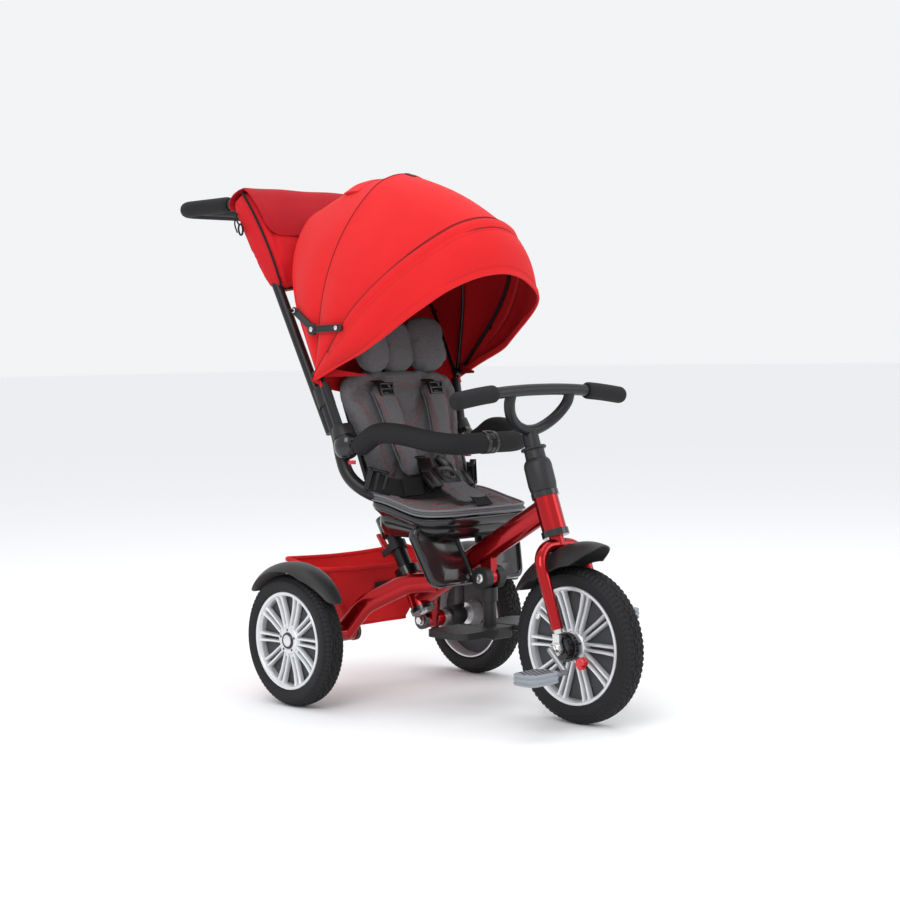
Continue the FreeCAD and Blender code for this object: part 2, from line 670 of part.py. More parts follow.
def seat_parts():
    top = seat_rim_z
    tray = rounded_prism(seat_half_width, seat_front_y, seat_rear_y, 60.0, top - seat_shell_depth, top)
    lower = [edge for edge in tray.Edges if abs(edge.CenterOfMass.z - (top - seat_shell_depth)) < 0.1]
    tray = tray.makeFillet(18.0, lower)
    socket = rod(seat_point(top - seat_shell_depth - 26.0), seat_point(top - 12.0), 22.0)
    clear = slab(Vec(-40, 40, 200), Vec(40, 90, 500))
    tray = tray.fuse(socket).cut(clear)
    post_end = seat_point(top - 20.0)
    tray = tray.cut(rod(seat_point(200.0), post_end, seat_post_radius))
    save("seat_shell", tray)
    save("seat_post", rod(seat_point(seat_tube_bottom_z + 4.0), post_end, seat_post_radius))
    pad = rounded_prism(seat_half_width - 1.0, seat_front_y, back_foot_y + 18.0, 62.0,
                        top + soft_gap, top + seat_pad_thickness)
    save("seat_pad", pad)
    panels = []
    for side in (-1, 1):
        width = calf_outer_x - calf_inner_x
        plate = Part.makeBox(width, 12.0, 92.0, Vec(-width / 2.0, -6.0, -92.0))
        bottom = [edge for edge in plate.Edges
                  if abs(edge.Length - 12.0) < 1e-6 and edge.CenterOfMass.z < -91]
        plate = plate.makeFillet(24.0, bottom)
        plate.rotate(Vec(0, 0, 0), Vec(1, 0, 0), -19.0)
        plate.translate(Vec(side * (calf_inner_x + calf_outer_x) / 2.0, -228.0, top - 24.0))
        plate = plate.cut(tray)
        panels.append(max(plate.Solids, key=lambda solid: solid.Volume))
    save("calf_panels", *panels)


def back_point(up, x, depth):
    foot = Vec(x, back_foot_y, back_foot_z)
    lean = math.radians(back_lean)
    return along_lean(foot, back_lean, up) + Vec(0, math.cos(lean), -math.sin(lean)) * depth


def back_slab(half_low, half_high, low, high, front, depth, corner):
    # An upright cushion that leans with the backrest.
    points = [(-half_low, low), (-half_high, high), (half_high, high), (half_low, low)]
    wire = [back_point(up, x, front) for x, up in points]
    wire.append(wire[0])
    lean = math.radians(back_lean)
    inward = Vec(0, math.cos(lean), -math.sin(lean)) * depth
    block = Part.Face(Part.makePolygon(wire)).extrude(inward)
    across = [edge for edge in block.Edges if abs(edge.Length - depth) < 1e-6]
    return block.makeFillet(corner, across)


def backrest():
    pad = back_slab(back_half_width - back_taper, back_half_width, 0.0, back_height - 10.0, 0.0,
                    back_pad_thickness, 44.0)
    save("backrest_pad", pad)
    behind_pad = back_pad_thickness + soft_gap
    behind_shell = behind_pad + back_shell_thickness
    shell = back_slab(back_half_width - back_taper, back_half_width - back_shell_inset, -12.0,
                      back_height - 24.0, behind_pad, back_shell_thickness, 40.0)
    foot_front = back_foot_y + 24.0
    foot = slab(Vec(-back_foot_half, foot_front, seat_rim_z),
                Vec(back_foot_half, foot_front + back_foot_depth, back_foot_z + 26.0))
    foot = foot.cut(back_slab(200, 200, -60.0, 200.0, -60.0, 60.0 + behind_pad, 1.0))
    head_low = back_height - 10.0 + soft_gap
    head = back_slab(head_half_width * 0.86, head_half_width, head_low, head_low + head_height,
                     -head_ahead, head_thickness, 34.0)
    save("headrest_pad", head)
    rail_top = back_height + 50.0
    rail = back_slab(18.0, 18.0, back_height - 60.0, rail_top, behind_shell, 4.0, 3.0)
    behind_head = head_thickness - head_ahead + soft_gap
    block = back_slab(18.0, 18.0, back_height - 2.0, rail_top, behind_head,
                      behind_shell + 4.0 - behind_head, 3.0)
    save("backrest_shell", shell.fuse(foot), rail.fuse(block))


def side_tubes():
    tubes = []
    for side in (-1, 1):
        x = side * pole_x
        points = [Vec(side * 116.0, -216.0, seat_rim_z - 26.0), Vec(x, -186.0, seat_rim_z - 12.0),
                  pole_point(seat_rim_z + 62.0, x), pole_point(590.0, x)]
        body = tube(points, [30.0, 85.0], side_tube_radius)
        bore = rod(pole_point(452.0, x), pole_point(600.0, x), pole_radius + running_clearance)
        tubes.append(body.cut(bore))
    shell_block = rounded_prism(seat_half_width, seat_front_y, seat_rear_y, 60.0,
                                seat_rim_z - seat_shell_depth, seat_rim_z)
    tubes = [max(body.cut(shell_block).Solids, key=lambda solid: solid.Volume) for body in tubes]
    collars = []
    for side in (-1, 1):
        x = side * pole_x
        skirt = sleeve(pole_point(562.0, x), pole_point(590.2, x), side_tube_radius + 3.5,
                       side_tube_radius)
        lid = sleeve(pole_point(590.2, x), pole_point(598.0, x), side_tube_radius + 3.5,
                     pole_radius + running_clearance)
        collars.append(skirt.fuse(lid))
    save("side_tubes", *tubes, *collars)
    return tubes


def push_bar():
    points = []
    for side in (-1, 1):
        x = side * pole_x
        lean_end = pole_point(push_handle_z, x)
        leg = [pole_point(512.0, x), lean_end, Vec(x, push_handle_end_y, push_handle_z)]
        points.append(leg if side < 0 else list(reversed(leg)))
    route = points[0] + points[1]
    save("push_bar", tube(route, [70.0, 45.0, 45.0, 70.0], pole_radius))
    bar_room = tube(route, [70.0, 45.0, 45.0, 70.0], pole_radius + bag_gap)
    grip_start = pole_point(push_handle_z, 0).y + 90.0
    grip_route = [Vec(-pole_x, grip_start, push_handle_z), Vec(-pole_x, push_handle_end_y, push_handle_z),
                  Vec(pole_x, push_handle_end_y, push_handle_z), Vec(pole_x, grip_start, push_handle_z)]
    grip = tube(grip_route, [45.0, 45.0], push_grip_radius)
    grip = grip.cut(tube(grip_route, [45.0, 45.0], pole_radius + running_clearance))
    save("push_grip", grip)
    lean = math.radians(pole_lean)
    forward = Vec(0, -math.cos(lean), math.sin(lean))
    down = Vec(0, -math.sin(lean), -math.cos(lean))
    top = pole_point(bag_top_z, 0) + forward * bag_ahead
    wire = [top + Vec(-bag_top_half, 0, 0), top + Vec(bag_top_half, 0, 0),
            top + down * bag_height + Vec(bag_bottom_half, 0, 0),
            top + down * bag_height + Vec(-bag_bottom_half, 0, 0)]
    bag = Part.Face(Part.makePolygon(wire + [wire[0]])).extrude(forward * -bag_depth)
    across = [edge for edge in bag.Edges if abs(edge.Length - bag_depth) < 1e-6]
    bag = bag.makeFillet(20.0, across)
    bag = bag.cut(bar_room)
    save("bag", max(bag.Solids, key=lambda solid: solid.Volume))


# ---- bumper bar ----------------------------------------------------------
def bumper(side_bars):
    housings = []
    buttons = []
    halves = []
    for side in (-1, 1):
        centre = Vec(side * bumper_joint_x, bumper_joint_y, bumper_joint_z)
        x = side * bumper_joint_x
        route = [centre + Vec(0, -32, 3), Vec(x, -142, bumper_joint_z + 18),
                 Vec(side * 134, -232, bumper_joint_z + 16),
                 Vec(side * 80, bumper_front_y, bumper_joint_z + 12),
                 Vec(side * 16, bumper_front_y, bumper_joint_z + 12)]
        halves.append(tube(route, [50.0, 50.0, 45.0], bumper_radius))
    knuckles = []
    for side in (-1, 1):
        centre = Vec(side * bumper_joint_x, bumper_joint_y, bumper_joint_z)
        shell = rod(centre + Vec(0, -2, -24), centre + Vec(0, -2, 24), 20.0)
        spine = slab(centre + Vec(-14, 0, -20), centre + Vec(14, 60, 34), 3.0)
        post_low = pole_point(512.0, side * canopy_post_x) + Vec(0, -canopy_post_gap, 0)
        post_top = Vec(side * (rear_hoop_half - rib_radius - rib_gap - fabric_thickness),
                       canopy_pivot_y, canopy_pivot_z)
        post_way = (post_top - post_low).normalize()
        socket = rod(post_low - post_way * 6.0, post_low + post_way * 30.0, canopy_post_radius + 3.0)
        seat = slab(centre + Vec(-30, -40, -13.4), centre + Vec(30, 14.5, 13.4))
        hinge_pin = rod(centre + Vec(0, -2, -20), centre + Vec(0, -2, 20), 5.0)
        body = shell.fuse([spine, socket]).cut(seat).fuse(hinge_pin)
        body = body.cut(rod(post_low, post_low + post_way * 40.0, canopy_post_radius + running_clearance))
        body = body.cut(side_bars[0 if side < 0 else 1])
        inside = rod(pole_point(440.0, centre.x), pole_point(560.0, centre.x), side_tube_radius - 0.5)
        body = max(body.cut(inside).Solids, key=lambda solid: solid.Volume)
        well = rod(centre + Vec(0, -2, -30), centre + Vec(0, -2, -21), 7.0 + running_clearance)
        body = body.cut(well)
        housings.append(body)
        buttons.append(rod(centre + Vec(0, -2, -31), centre + Vec(0, -2, -21.2 - button_travel), 7.0))
    save("bumper_housings", *housings)
    save("release_button_right", buttons[0])
    save("release_button_left", buttons[1])
    for side in (-1, 1):
        centre = Vec(side * bumper_joint_x, bumper_joint_y, bumper_joint_z)
        knuckle = sleeve(centre + Vec(0, -2, -13), centre + Vec(0, -2, 13), 13.5, 5.0 + running_clearance)
        neck = slab(centre + Vec(-8, -31.5, -8), centre + Vec(8, -13, 8))
        knuckles.append(knuckle.fuse(neck))
    buckle_start = Vec(-15.5, bumper_front_y, bumper_joint_z + 12)
    buckle_end = Vec(15.5, bumper_front_y, bumper_joint_z + 12)
    buckle = rod(buckle_start, buckle_end, bumper_radius + 1.5)
    save("bumper_right", halves[0], knuckles[0])
    save("bumper_left", halves[1], knuckles[1], buckle)


# ---- canopy --------------------------------------------------------------
def hoop_place(x, up, lean):
    foot = Vec(x, canopy_pivot_y, canopy_pivot_z)
    return along_lean(foot, lean, up)


def arch_edges(half, reach, foot, lean):
    # One hoop: two legs, two haunches and a crown, all tangent.
    rise = reach - hoop_leg
    crown = hoop_crown_radius
    haunch = (half ** 2 + rise ** 2 - 2 * rise * crown) / (2 * (half - crown))
    haunch_x = half - haunch
    gap_s = (reach - crown) - hoop_leg
    norm = math.hypot(haunch_x, gap_s)
    meet_x = haunch_x - haunch_x / norm * haunch
    meet_s = hoop_leg + gap_s / norm * haunch
    angle = math.atan2(gap_s, -haunch_x) / 2.0
    mid_x = haunch_x + haunch * math.cos(angle)
    mid_s = hoop_leg + haunch * math.sin(angle)
    points = [hoop_place(x, up, lean) for x, up in (
        (-half, foot), (-half, hoop_leg), (-mid_x, mid_s), (-meet_x, meet_s), (0, reach),
        (meet_x, meet_s), (mid_x, mid_s), (half, hoop_leg), (half, foot))]
    return [Part.LineSegment(points[0], points[1]).toShape(),
            Part.Arc(points[1], points[2], points[3]).toShape(),
            Part.Arc(points[3], points[4], points[5]).toShape(),
            Part.Arc(points[5], points[6], points[7]).toShape(),
            Part.LineSegment(points[7], points[8]).toShape()]


def arch_band(half, reach, foot, lean, wall):
    outer = arch_edges(half, reach, foot, lean)
    inner = arch_edges(half - wall, reach - wall, foot, lean)
    ends = []
    for side in (-1, 1):
        first = hoop_place(side * half, foot, lean)
        last = hoop_place(side * (half - wall), foot, lean)
        ends.append(Part.LineSegment(first, last).toShape())
    return Part.Wire(Part.__sortEdges__(outer + inner + ends))


def rib(half, reach, lean, start_up):
    begin = hoop_place(-half, start_up, lean)
    way = hoop_place(-half, start_up + 1, lean) - begin
    circle = Part.Wire([Part.Circle(begin, way, rib_radius).toShape()])
    return Part.Wire(arch_edges(half, reach, start_up, lean)).makePipeShell([circle], True, False)


def canopy_ribs():
    inset = rib_radius + rib_gap + fabric_thickness
    hoops = (("rear", rear_hoop_half - inset, rear_hoop_reach - inset, rear_hoop_lean),
             ("mid", mid_hoop_half - inset, mid_hoop_reach - inset, mid_hoop_lean),
             ("front", front_hoop_half - inset, front_hoop_reach - inset, front_hoop_lean))
    pin_end = front_hoop_half + 2.0
    extras = []
    for word, half, reach, lean in hoops:
        hoop = rib(half, reach, lean, 6.0)
        for side in (-1, 1):
            centre = Vec(side * half, canopy_pivot_y, canopy_pivot_z)
            eye = rod(centre - Vec(2.8, 0, 0), centre + Vec(2.8, 0, 0), 9.0)
            hoop = hoop.fuse(eye)
            if word == "rear":
                hoop = hoop.fuse(rod(centre, Vec(side * pin_end, centre.y, centre.z), hinge_pin_radius))
            else:
                hole = rod(centre - Vec(5, 0, 0), centre + Vec(5, 0, 0), hinge_pin_radius + running_clearance)
                hoop = hoop.cut(hole)
        if word == "front":
            for side in (-1, 1):
                root = hoop_place(side * half, brace_front_reach, lean)
                tip = Vec(side * (brace_x + brace_plate - 0.3), root.y, root.z)
                hoop = hoop.fuse(rod(root, tip, 4.0))
        if word == "rear":
            for side in (-1, 1):
                root = hoop_place(side * half, brace_rear_reach, lean)
                tip = Vec(side * (brace_x + brace_plate + 2.0), root.y, root.z)
                hoop = hoop.fuse(rod(root, tip, hinge_pin_radius))
            for side in (-1, 1):
                top = Vec(side * half, canopy_pivot_y, canopy_pivot_z)
                low = pole_point(512.0, side * canopy_post_x) + Vec(0, -canopy_post_gap, 0)
                post = rod(low, top, canopy_post_radius)
                clear = slab(top + Vec(-14, -14, -12), top + Vec(14, 14, 30))
                post = post.cut(clear)
                neck = rod(top, low + (top - low) * 0.85, 2.8)
                extras.append(max(post.Solids, key=lambda solid: solid.Volume).fuse(neck))
            hoop = hoop.fuse(extras)
        save("canopy_" + word + "_rib", hoop)


def brace_link(start, end, side, near):
    offset = Vec(side * near, 0, 0)
    wide = Vec(side * brace_plate, 0, 0)
    ends = [rod(point + offset, point + offset + wide, brace_eye_radius) for point in (start, end)]
    axis = (end - start).normalize()
    across = Vec(0, -axis.z, axis.y) * 5.0
    corners = [start + across, end + across, end - across, start - across]
    corners = [point + offset for point in corners]
    bar = Part.Face(Part.makePolygon(corners + [corners[0]])).extrude(wide)
    return bar.fuse(ends)


def canopy_braces():
    rear_pin = hoop_place(0, brace_rear_reach, rear_hoop_lean)
    front_pin = hoop_place(0, brace_front_reach, front_hoop_lean)
    elbow = Vec(0, brace_elbow_y, brace_elbow_z)
    bore = hinge_pin_radius + running_clearance
    far = Vec(400, 0, 0)
    front_x = brace_x + brace_plate + 0.3
    outer_x = brace_x + 2 * brace_plate
    for side, word in ((-1, "right"), (1, "left")):
        rear = brace_link(rear_pin, elbow, side, brace_x).cut(rod(rear_pin - far, rear_pin + far, bore))
        elbow_pin = rod(elbow + Vec(side * brace_x, 0, 0), elbow + Vec(side * (outer_x + 3), 0, 0),
                        hinge_pin_radius)
        save("brace_rear_" + word, rear.fuse(elbow_pin))
        front = brace_link(elbow, front_pin, side, front_x)
        disc = rod(elbow + Vec(side * front_x, 0, 0), elbow + Vec(side * (outer_x + 2.5), 0, 0), 13.0)
        save("brace_front_" + word, front.fuse(disc).cut(rod(elbow - far, elbow + far, bore)))


def canopy_fabric():
    spans = (("canopy_rear_panel", rear_hoop_half, rear_hoop_reach, rear_hoop_lean - seam_gap,
              mid_hoop_half, mid_hoop_reach, mid_hoop_lean + seam_gap, panel_foot),
             ("canopy_front_panel", mid_hoop_half, mid_hoop_reach, mid_hoop_lean - seam_gap,
              front_hoop_half, front_hoop_reach, front_hoop_lean + seam_gap, panel_foot),
             ("canopy_visor", front_hoop_half, front_hoop_reach, front_hoop_lean - seam_gap,
              visor_half, visor_reach, visor_lean, visor_foot))
    for name, half_a, reach_a, lean_a, half_b, reach_b, lean_b, foot in spans:
        first = arch_band(half_a, reach_a, foot, lean_a, fabric_thickness)
        second = arch_band(half_b, reach_b, foot, lean_b, fabric_thickness)
        panel = Part.makeLoft([first, second], True, True)
        for reach, lean in ((brace_rear_reach, rear_hoop_lean), (brace_front_reach, front_hoop_lean)):
            pin = hoop_place(0, reach, lean)
            panel = panel.cut(rod(pin - Vec(400, 0, 0), pin + Vec(400, 0, 0), brace_hole))
        save(name, max(panel.Solids, key=lambda solid: solid.Volume))
    # The rear curtain hangs from the rear hoop and stands back from it round the headrest.
    edges = arch_edges(rear_hoop_half, rear_hoop_reach, curtain_foot, rear_hoop_lean)
    left = hoop_place(rear_hoop_half, curtain_foot, rear_hoop_lean)
    right = hoop_place(-rear_hoop_half, curtain_foot, rear_hoop_lean)
    sheet = Part.Face(Part.Wire(Part.__sortEdges__(edges + [Part.LineSegment(left, right).toShape()])))
    prism = sheet.extrude(Vec(0, 200, 0))
    wires = []
    low_z = hoop_place(0, curtain_foot, rear_hoop_lean).z - 5.0
    high_z = hoop_place(0, rear_hoop_reach, rear_hoop_lean).z + 5.0
    for z, back_y in ((low_z, curtain_low_y), (high_z, curtain_high_y)):
        hoop_y = canopy_pivot_y + (z - canopy_pivot_z) * math.tan(math.radians(rear_hoop_lean))
        hoop_y = hoop_y + rib_radius + 1.0
        wide = rear_hoop_half + 8.0
        outline = [(-wide, hoop_y), (-curtain_back_half, back_y), (curtain_back_half, back_y),
                   (wide, hoop_y)]
        points = [Vec(x, y, z) for x, y in outline]
        points = points + [point + Vec(0, fabric_thickness, 0) for point in reversed(points)]
        wires.append(Part.makePolygon(points + [points[0]]))
    curtain = Part.makeLoft(wires, True, True).common(prism)
    save("canopy_curtain", max(curtain.Solids, key=lambda solid: solid.Volume))


def basket_shell(inset, low_z, high_z):
    wires = []
    for half_front, half_rear, step, z in (
            (basket_bottom_half, basket_bottom_half, 26.0, low_z),
            (basket_top_half - 6.0, basket_top_half, 0.0, high_z)):
        front = basket_front_y + step + inset
        rear = basket_rear_y - step - inset
        points = [Vec(-half_front + inset, front, z), Vec(-half_rear + inset, rear, z),
                  Vec(half_rear - inset, rear, z), Vec(half_front - inset, front, z)]
        wires.append(Part.makePolygon(points + [points[0]]))
    return Part.makeLoft(wires, True, True)


def basket():
    outer = basket_shell(0.0, basket_bottom_z, basket_top_z)
    inner = basket_shell(basket_wall, basket_bottom_z + basket_wall, basket_top_z + 0.5)
    hanger_z = 198.0
    wall_y = basket_front_y + 26.0 * (basket_top_z - hanger_z) / (basket_top_z - basket_bottom_z)
    tube_y = seat_point(hanger_z).y
    hanger = rod(Vec(0, tube_y, hanger_z), Vec(0, wall_y - 1.0, hanger_z), 9.0)
    hanger = hanger.cut(rod(seat_point(180.0), seat_point(260.0), seat_tube_radius))
    hanger = max(hanger.Solids, key=lambda solid: solid.Volume)
    plate = slab(Vec(-22, wall_y - 5.0, hanger_z - 14), Vec(22, wall_y - 1.0, hanger_z + 14))
    hanger = hanger.fuse(plate).cut(outer)
    save("basket", outer.cut(inner))
    save("basket_hanger", max(hanger.Solids, key=lambda solid: solid.Volume))


def main():
    os.makedirs("parts", exist_ok=True)
    rear_wheels()
    rear_axles()
    main_frame()
    seat_tube_parts()
    seat_clamp_parts()
    headset()
    rear_fenders()
    fork_parts()
    front_wheel_parts()
    pedals()
    footrest()
    seat_parts()
    backrest()
    bars = side_tubes()
    push_bar()
    bumper(bars)
    canopy_ribs()
    canopy_braces()
    canopy_fabric()
    basket()


main()
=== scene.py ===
import math

import bmesh
import bpy
from mathutils import Matrix, Vector
from mathutils.bvhtree import BVHTree


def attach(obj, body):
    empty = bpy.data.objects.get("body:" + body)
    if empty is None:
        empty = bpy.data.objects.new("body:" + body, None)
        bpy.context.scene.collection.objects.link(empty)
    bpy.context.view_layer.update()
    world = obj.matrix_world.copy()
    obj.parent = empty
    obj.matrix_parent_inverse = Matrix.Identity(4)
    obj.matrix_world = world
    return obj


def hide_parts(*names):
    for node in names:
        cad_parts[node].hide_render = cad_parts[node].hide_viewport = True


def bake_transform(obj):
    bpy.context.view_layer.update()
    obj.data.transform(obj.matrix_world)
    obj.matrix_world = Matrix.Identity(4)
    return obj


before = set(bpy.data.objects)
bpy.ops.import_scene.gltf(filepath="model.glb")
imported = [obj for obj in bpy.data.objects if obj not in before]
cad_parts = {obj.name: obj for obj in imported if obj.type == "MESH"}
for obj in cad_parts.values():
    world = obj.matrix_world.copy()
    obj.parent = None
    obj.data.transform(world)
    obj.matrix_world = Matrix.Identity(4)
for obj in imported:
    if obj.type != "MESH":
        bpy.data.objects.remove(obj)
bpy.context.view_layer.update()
scene = bpy.context.scene
scene.view_settings.view_transform = "Standard"
rearAxleShift = 89.25


def pt(x, y, z):
    # Millimetres, y counted from the rear axle, to metres in the row frame.
    return Vector((x / 1000.0, (y + rearAxleShift) / 1000.0, z / 1000.0))


def turnX(angle):
    return Matrix.Rotation(math.radians(angle), 3, "X")


# Materials.
def newGroup(name, inputs, outputs):
    group = bpy.data.node_groups.new(name, "ShaderNodeTree")
    for label, kind, value in inputs:
        socket = group.interface.new_socket(label, in_out="INPUT", socket_type=kind)
        if value is not None:
            socket.default_value = value
    for label, kind in outputs:
        group.interface.new_socket(label, in_out="OUTPUT", socket_type=kind)
    entry = group.nodes.new("NodeGroupInput")
    leave = group.nodes.new("NodeGroupOutput")
    return group, entry, leave


def makeGrainGroup():
    # Fine moulded or foamed grain: a bumped normal.
    inputs = [("Scale", "NodeSocketFloat", 1500.0), ("Strength", "NodeSocketFloat", 0.2)]
    group, entry, leave = newGroup("fineGrain", inputs, [("Normal", "NodeSocketVector")])
    coord = group.nodes.new("ShaderNodeTexCoord")
    noise = group.nodes.new("ShaderNodeTexNoise")
    noise.inputs["Detail"].default_value = 3.0
    bump = group.nodes.new("ShaderNodeBump")
    bump.inputs["Distance"].default_value = 0.0006
    group.links.new(coord.outputs["Object"], noise.inputs["Vector"])
    group.links.new(entry.outputs["Scale"], noise.inputs["Scale"])
    group.links.new(noise.outputs["Fac"], bump.inputs["Height"])
    group.links.new(entry.outputs["Strength"], bump.inputs["Strength"])
    group.links.new(bump.outputs["Normal"], leave.inputs["Normal"])
    return group


def makeWeaveGroup():
    # Over-and-under threads on any face: products of sines along the three axes.
    inputs = [("Threads", "NodeSocketFloat", 6500.0), ("Depth", "NodeSocketFloat", 0.35)]
    outputs = [("Normal", "NodeSocketVector"), ("Shade", "NodeSocketFloat")]
    group, entry, leave = newGroup("plainWeave", inputs, outputs)
    coord = group.nodes.new("ShaderNodeTexCoord")
    parts = group.nodes.new("ShaderNodeSeparateXYZ")
    group.links.new(coord.outputs["Object"], parts.inputs["Vector"])
    waves = []
    for axis in "XYZ":
        times = group.nodes.new("ShaderNodeMath")
        times.operation = "MULTIPLY"
        sine = group.nodes.new("ShaderNodeMath")
        sine.operation = "SINE"
        group.links.new(parts.outputs[axis], times.inputs[0])
        group.links.new(entry.outputs["Threads"], times.inputs[1])
        group.links.new(times.outputs["Value"], sine.inputs[0])
        waves.append(sine)
    total = None
    for first, second in ((0, 1), (1, 2), (2, 0)):
        product = group.nodes.new("ShaderNodeMath")
        product.operation = "MULTIPLY"
        group.links.new(waves[first].outputs["Value"], product.inputs[0])
        group.links.new(waves[second].outputs["Value"], product.inputs[1])
        if total is None:
            total = product
            continue
        add = group.nodes.new("ShaderNodeMath")
        add.operation = "ADD"
        group.links.new(total.outputs["Value"], add.inputs[0])
        group.links.new(product.outputs["Value"], add.inputs[1])
        total = add
    noise = group.nodes.new("ShaderNodeTexNoise")
    noise.inputs["Scale"].default_value = 900.0
    noise.inputs["Detail"].default_value = 2.0
    group.links.new(coord.outputs["Object"], noise.inputs["Vector"])
    mix = group.nodes.new("ShaderNodeMath")
    mix.operation = "MULTIPLY_ADD"
    mix.inputs[1].default_value = 0.35
    group.links.new(total.outputs["Value"], mix.inputs[0])
    group.links.new(noise.outputs["Fac"], mix.inputs[2])
    bump = group.nodes.new("ShaderNodeBump")
    bump.inputs["Distance"].default_value = 0.0005
    group.links.new(mix.outputs["Value"], bump.inputs["Height"])
    group.links.new(entry.outputs["Depth"], bump.inputs["Strength"])
    group.links.new(bump.outputs["Normal"], leave.inputs["Normal"])
    group.links.new(mix.outputs["Value"], leave.inputs["Shade"])
    return group


def makeMelangeGroup():
    # Light and dark fibres mixed in short streaks.
    group, entry, leave = newGroup("melangeYarn", [], [("Mask", "NodeSocketFloat")])
    coord = group.nodes.new("ShaderNodeTexCoord")
    stretch = group.nodes.new("ShaderNodeMapping")
    stretch.inputs["Scale"].default_value = (1.0, 1.0, 0.3)
    fine = group.nodes.new("ShaderNodeTexNoise")
    fine.inputs["Scale"].default_value = 1400.0
    fine.inputs["Detail"].default_value = 2.0
    ramp = group.nodes.new("ShaderNodeMapRange")
    ramp.inputs["From Min"].default_value = 0.35
    ramp.inputs["From Max"].default_value = 0.65
    group.links.new(coord.outputs["Object"], stretch.inputs["Vector"])
    group.links.new(stretch.outputs["Vector"], fine.inputs["Vector"])
    group.links.new(fine.outputs["Fac"], ramp.inputs["Value"])
    group.links.new(ramp.outputs["Result"], leave.inputs["Mask"])
    return group


def makeSmudgeGroup():
    # A slow mask from 0 to 1 that makes gloss uneven.
    group, entry, leave = newGroup("slowSmudge", [("Scale", "NodeSocketFloat", 18.0)],
                                   [("Mask", "NodeSocketFloat")])
    coord = group.nodes.new("ShaderNodeTexCoord")
    noise = group.nodes.new("ShaderNodeTexNoise")
    noise.inputs["Detail"].default_value = 4.0
    group.links.new(coord.outputs["Object"], noise.inputs["Vector"])
    group.links.new(entry.outputs["Scale"], noise.inputs["Scale"])
    group.links.new(noise.outputs["Fac"], leave.inputs["Mask"])
    return group


grainGroup = makeGrainGroup()
weaveGroup = makeWeaveGroup()
melangeGroup = makeMelangeGroup()
smudgeGroup = makeSmudgeGroup()


def groupNode(tree, group):
    node = tree.nodes.new("ShaderNodeGroup")
    node.node_tree = group
    return node


def makeMaterial(name, look):
    material = bpy.data.materials.new(name)
    material.use_nodes = True
    tree = material.node_tree
    shader = tree.nodes["Principled BSDF"]
    color = (*look["color"], 1.0)
    shader.inputs["Base Color"].default_value = color
    shader.inputs["Metallic"].default_value = look.get("metallic", 0.0)
    shader.inputs["Roughness"].default_value = look["roughness"]
    shader.inputs["Coat Weight"].default_value = look.get("coat", 0.0)
    shader.inputs["Coat Roughness"].default_value = 0.06
    shader.inputs["Sheen Weight"].default_value = look.get("sheen", 0.0)
    shader.inputs["Specular IOR Level"].default_value = look.get("specular", 0.5)
    if "grain" in look:
        grain = groupNode(tree, grainGroup)
        grain.inputs["Scale"].default_value = look["grain"][0]
        grain.inputs["Strength"].default_value = look["grain"][1]
        tree.links.new(grain.outputs["Normal"], shader.inputs["Normal"])
    if "threads" in look:
        weave = groupNode(tree, weaveGroup)
        weave.inputs["Threads"].default_value = look["threads"]
        weave.inputs["Depth"].default_value = look.get("depth", 0.3)
        tree.links.new(weave.outputs["Normal"], shader.inputs["Normal"])
    if "second" in look:
        mix = tree.nodes.new("ShaderNodeMix")
        mix.data_type = "RGBA"
        mix.inputs["A"].default_value = color
        mix.inputs["B"].default_value = (*look["second"], 1.0)
        mask = groupNode(tree, melangeGroup if look.get("melange") else smudgeGroup)
        tree.links.new(mask.outputs["Mask"], mix.inputs["Factor"])
        tree.links.new(mix.outputs["Result"], shader.inputs["Base Color"])
    if "smudge" in look:
        smudge = groupNode(tree, smudgeGroup)
        spread = tree.nodes.new("ShaderNodeMapRange")
        spread.inputs["To Min"].default_value = look["roughness"]
        spread.inputs["To Max"].default_value = look["roughness"] + look["smudge"]
        tree.links.new(smudge.outputs["Mask"], spread.inputs["Value"])
        tree.links.new(spread.outputs["Result"], shader.inputs["Roughness"])
    return material


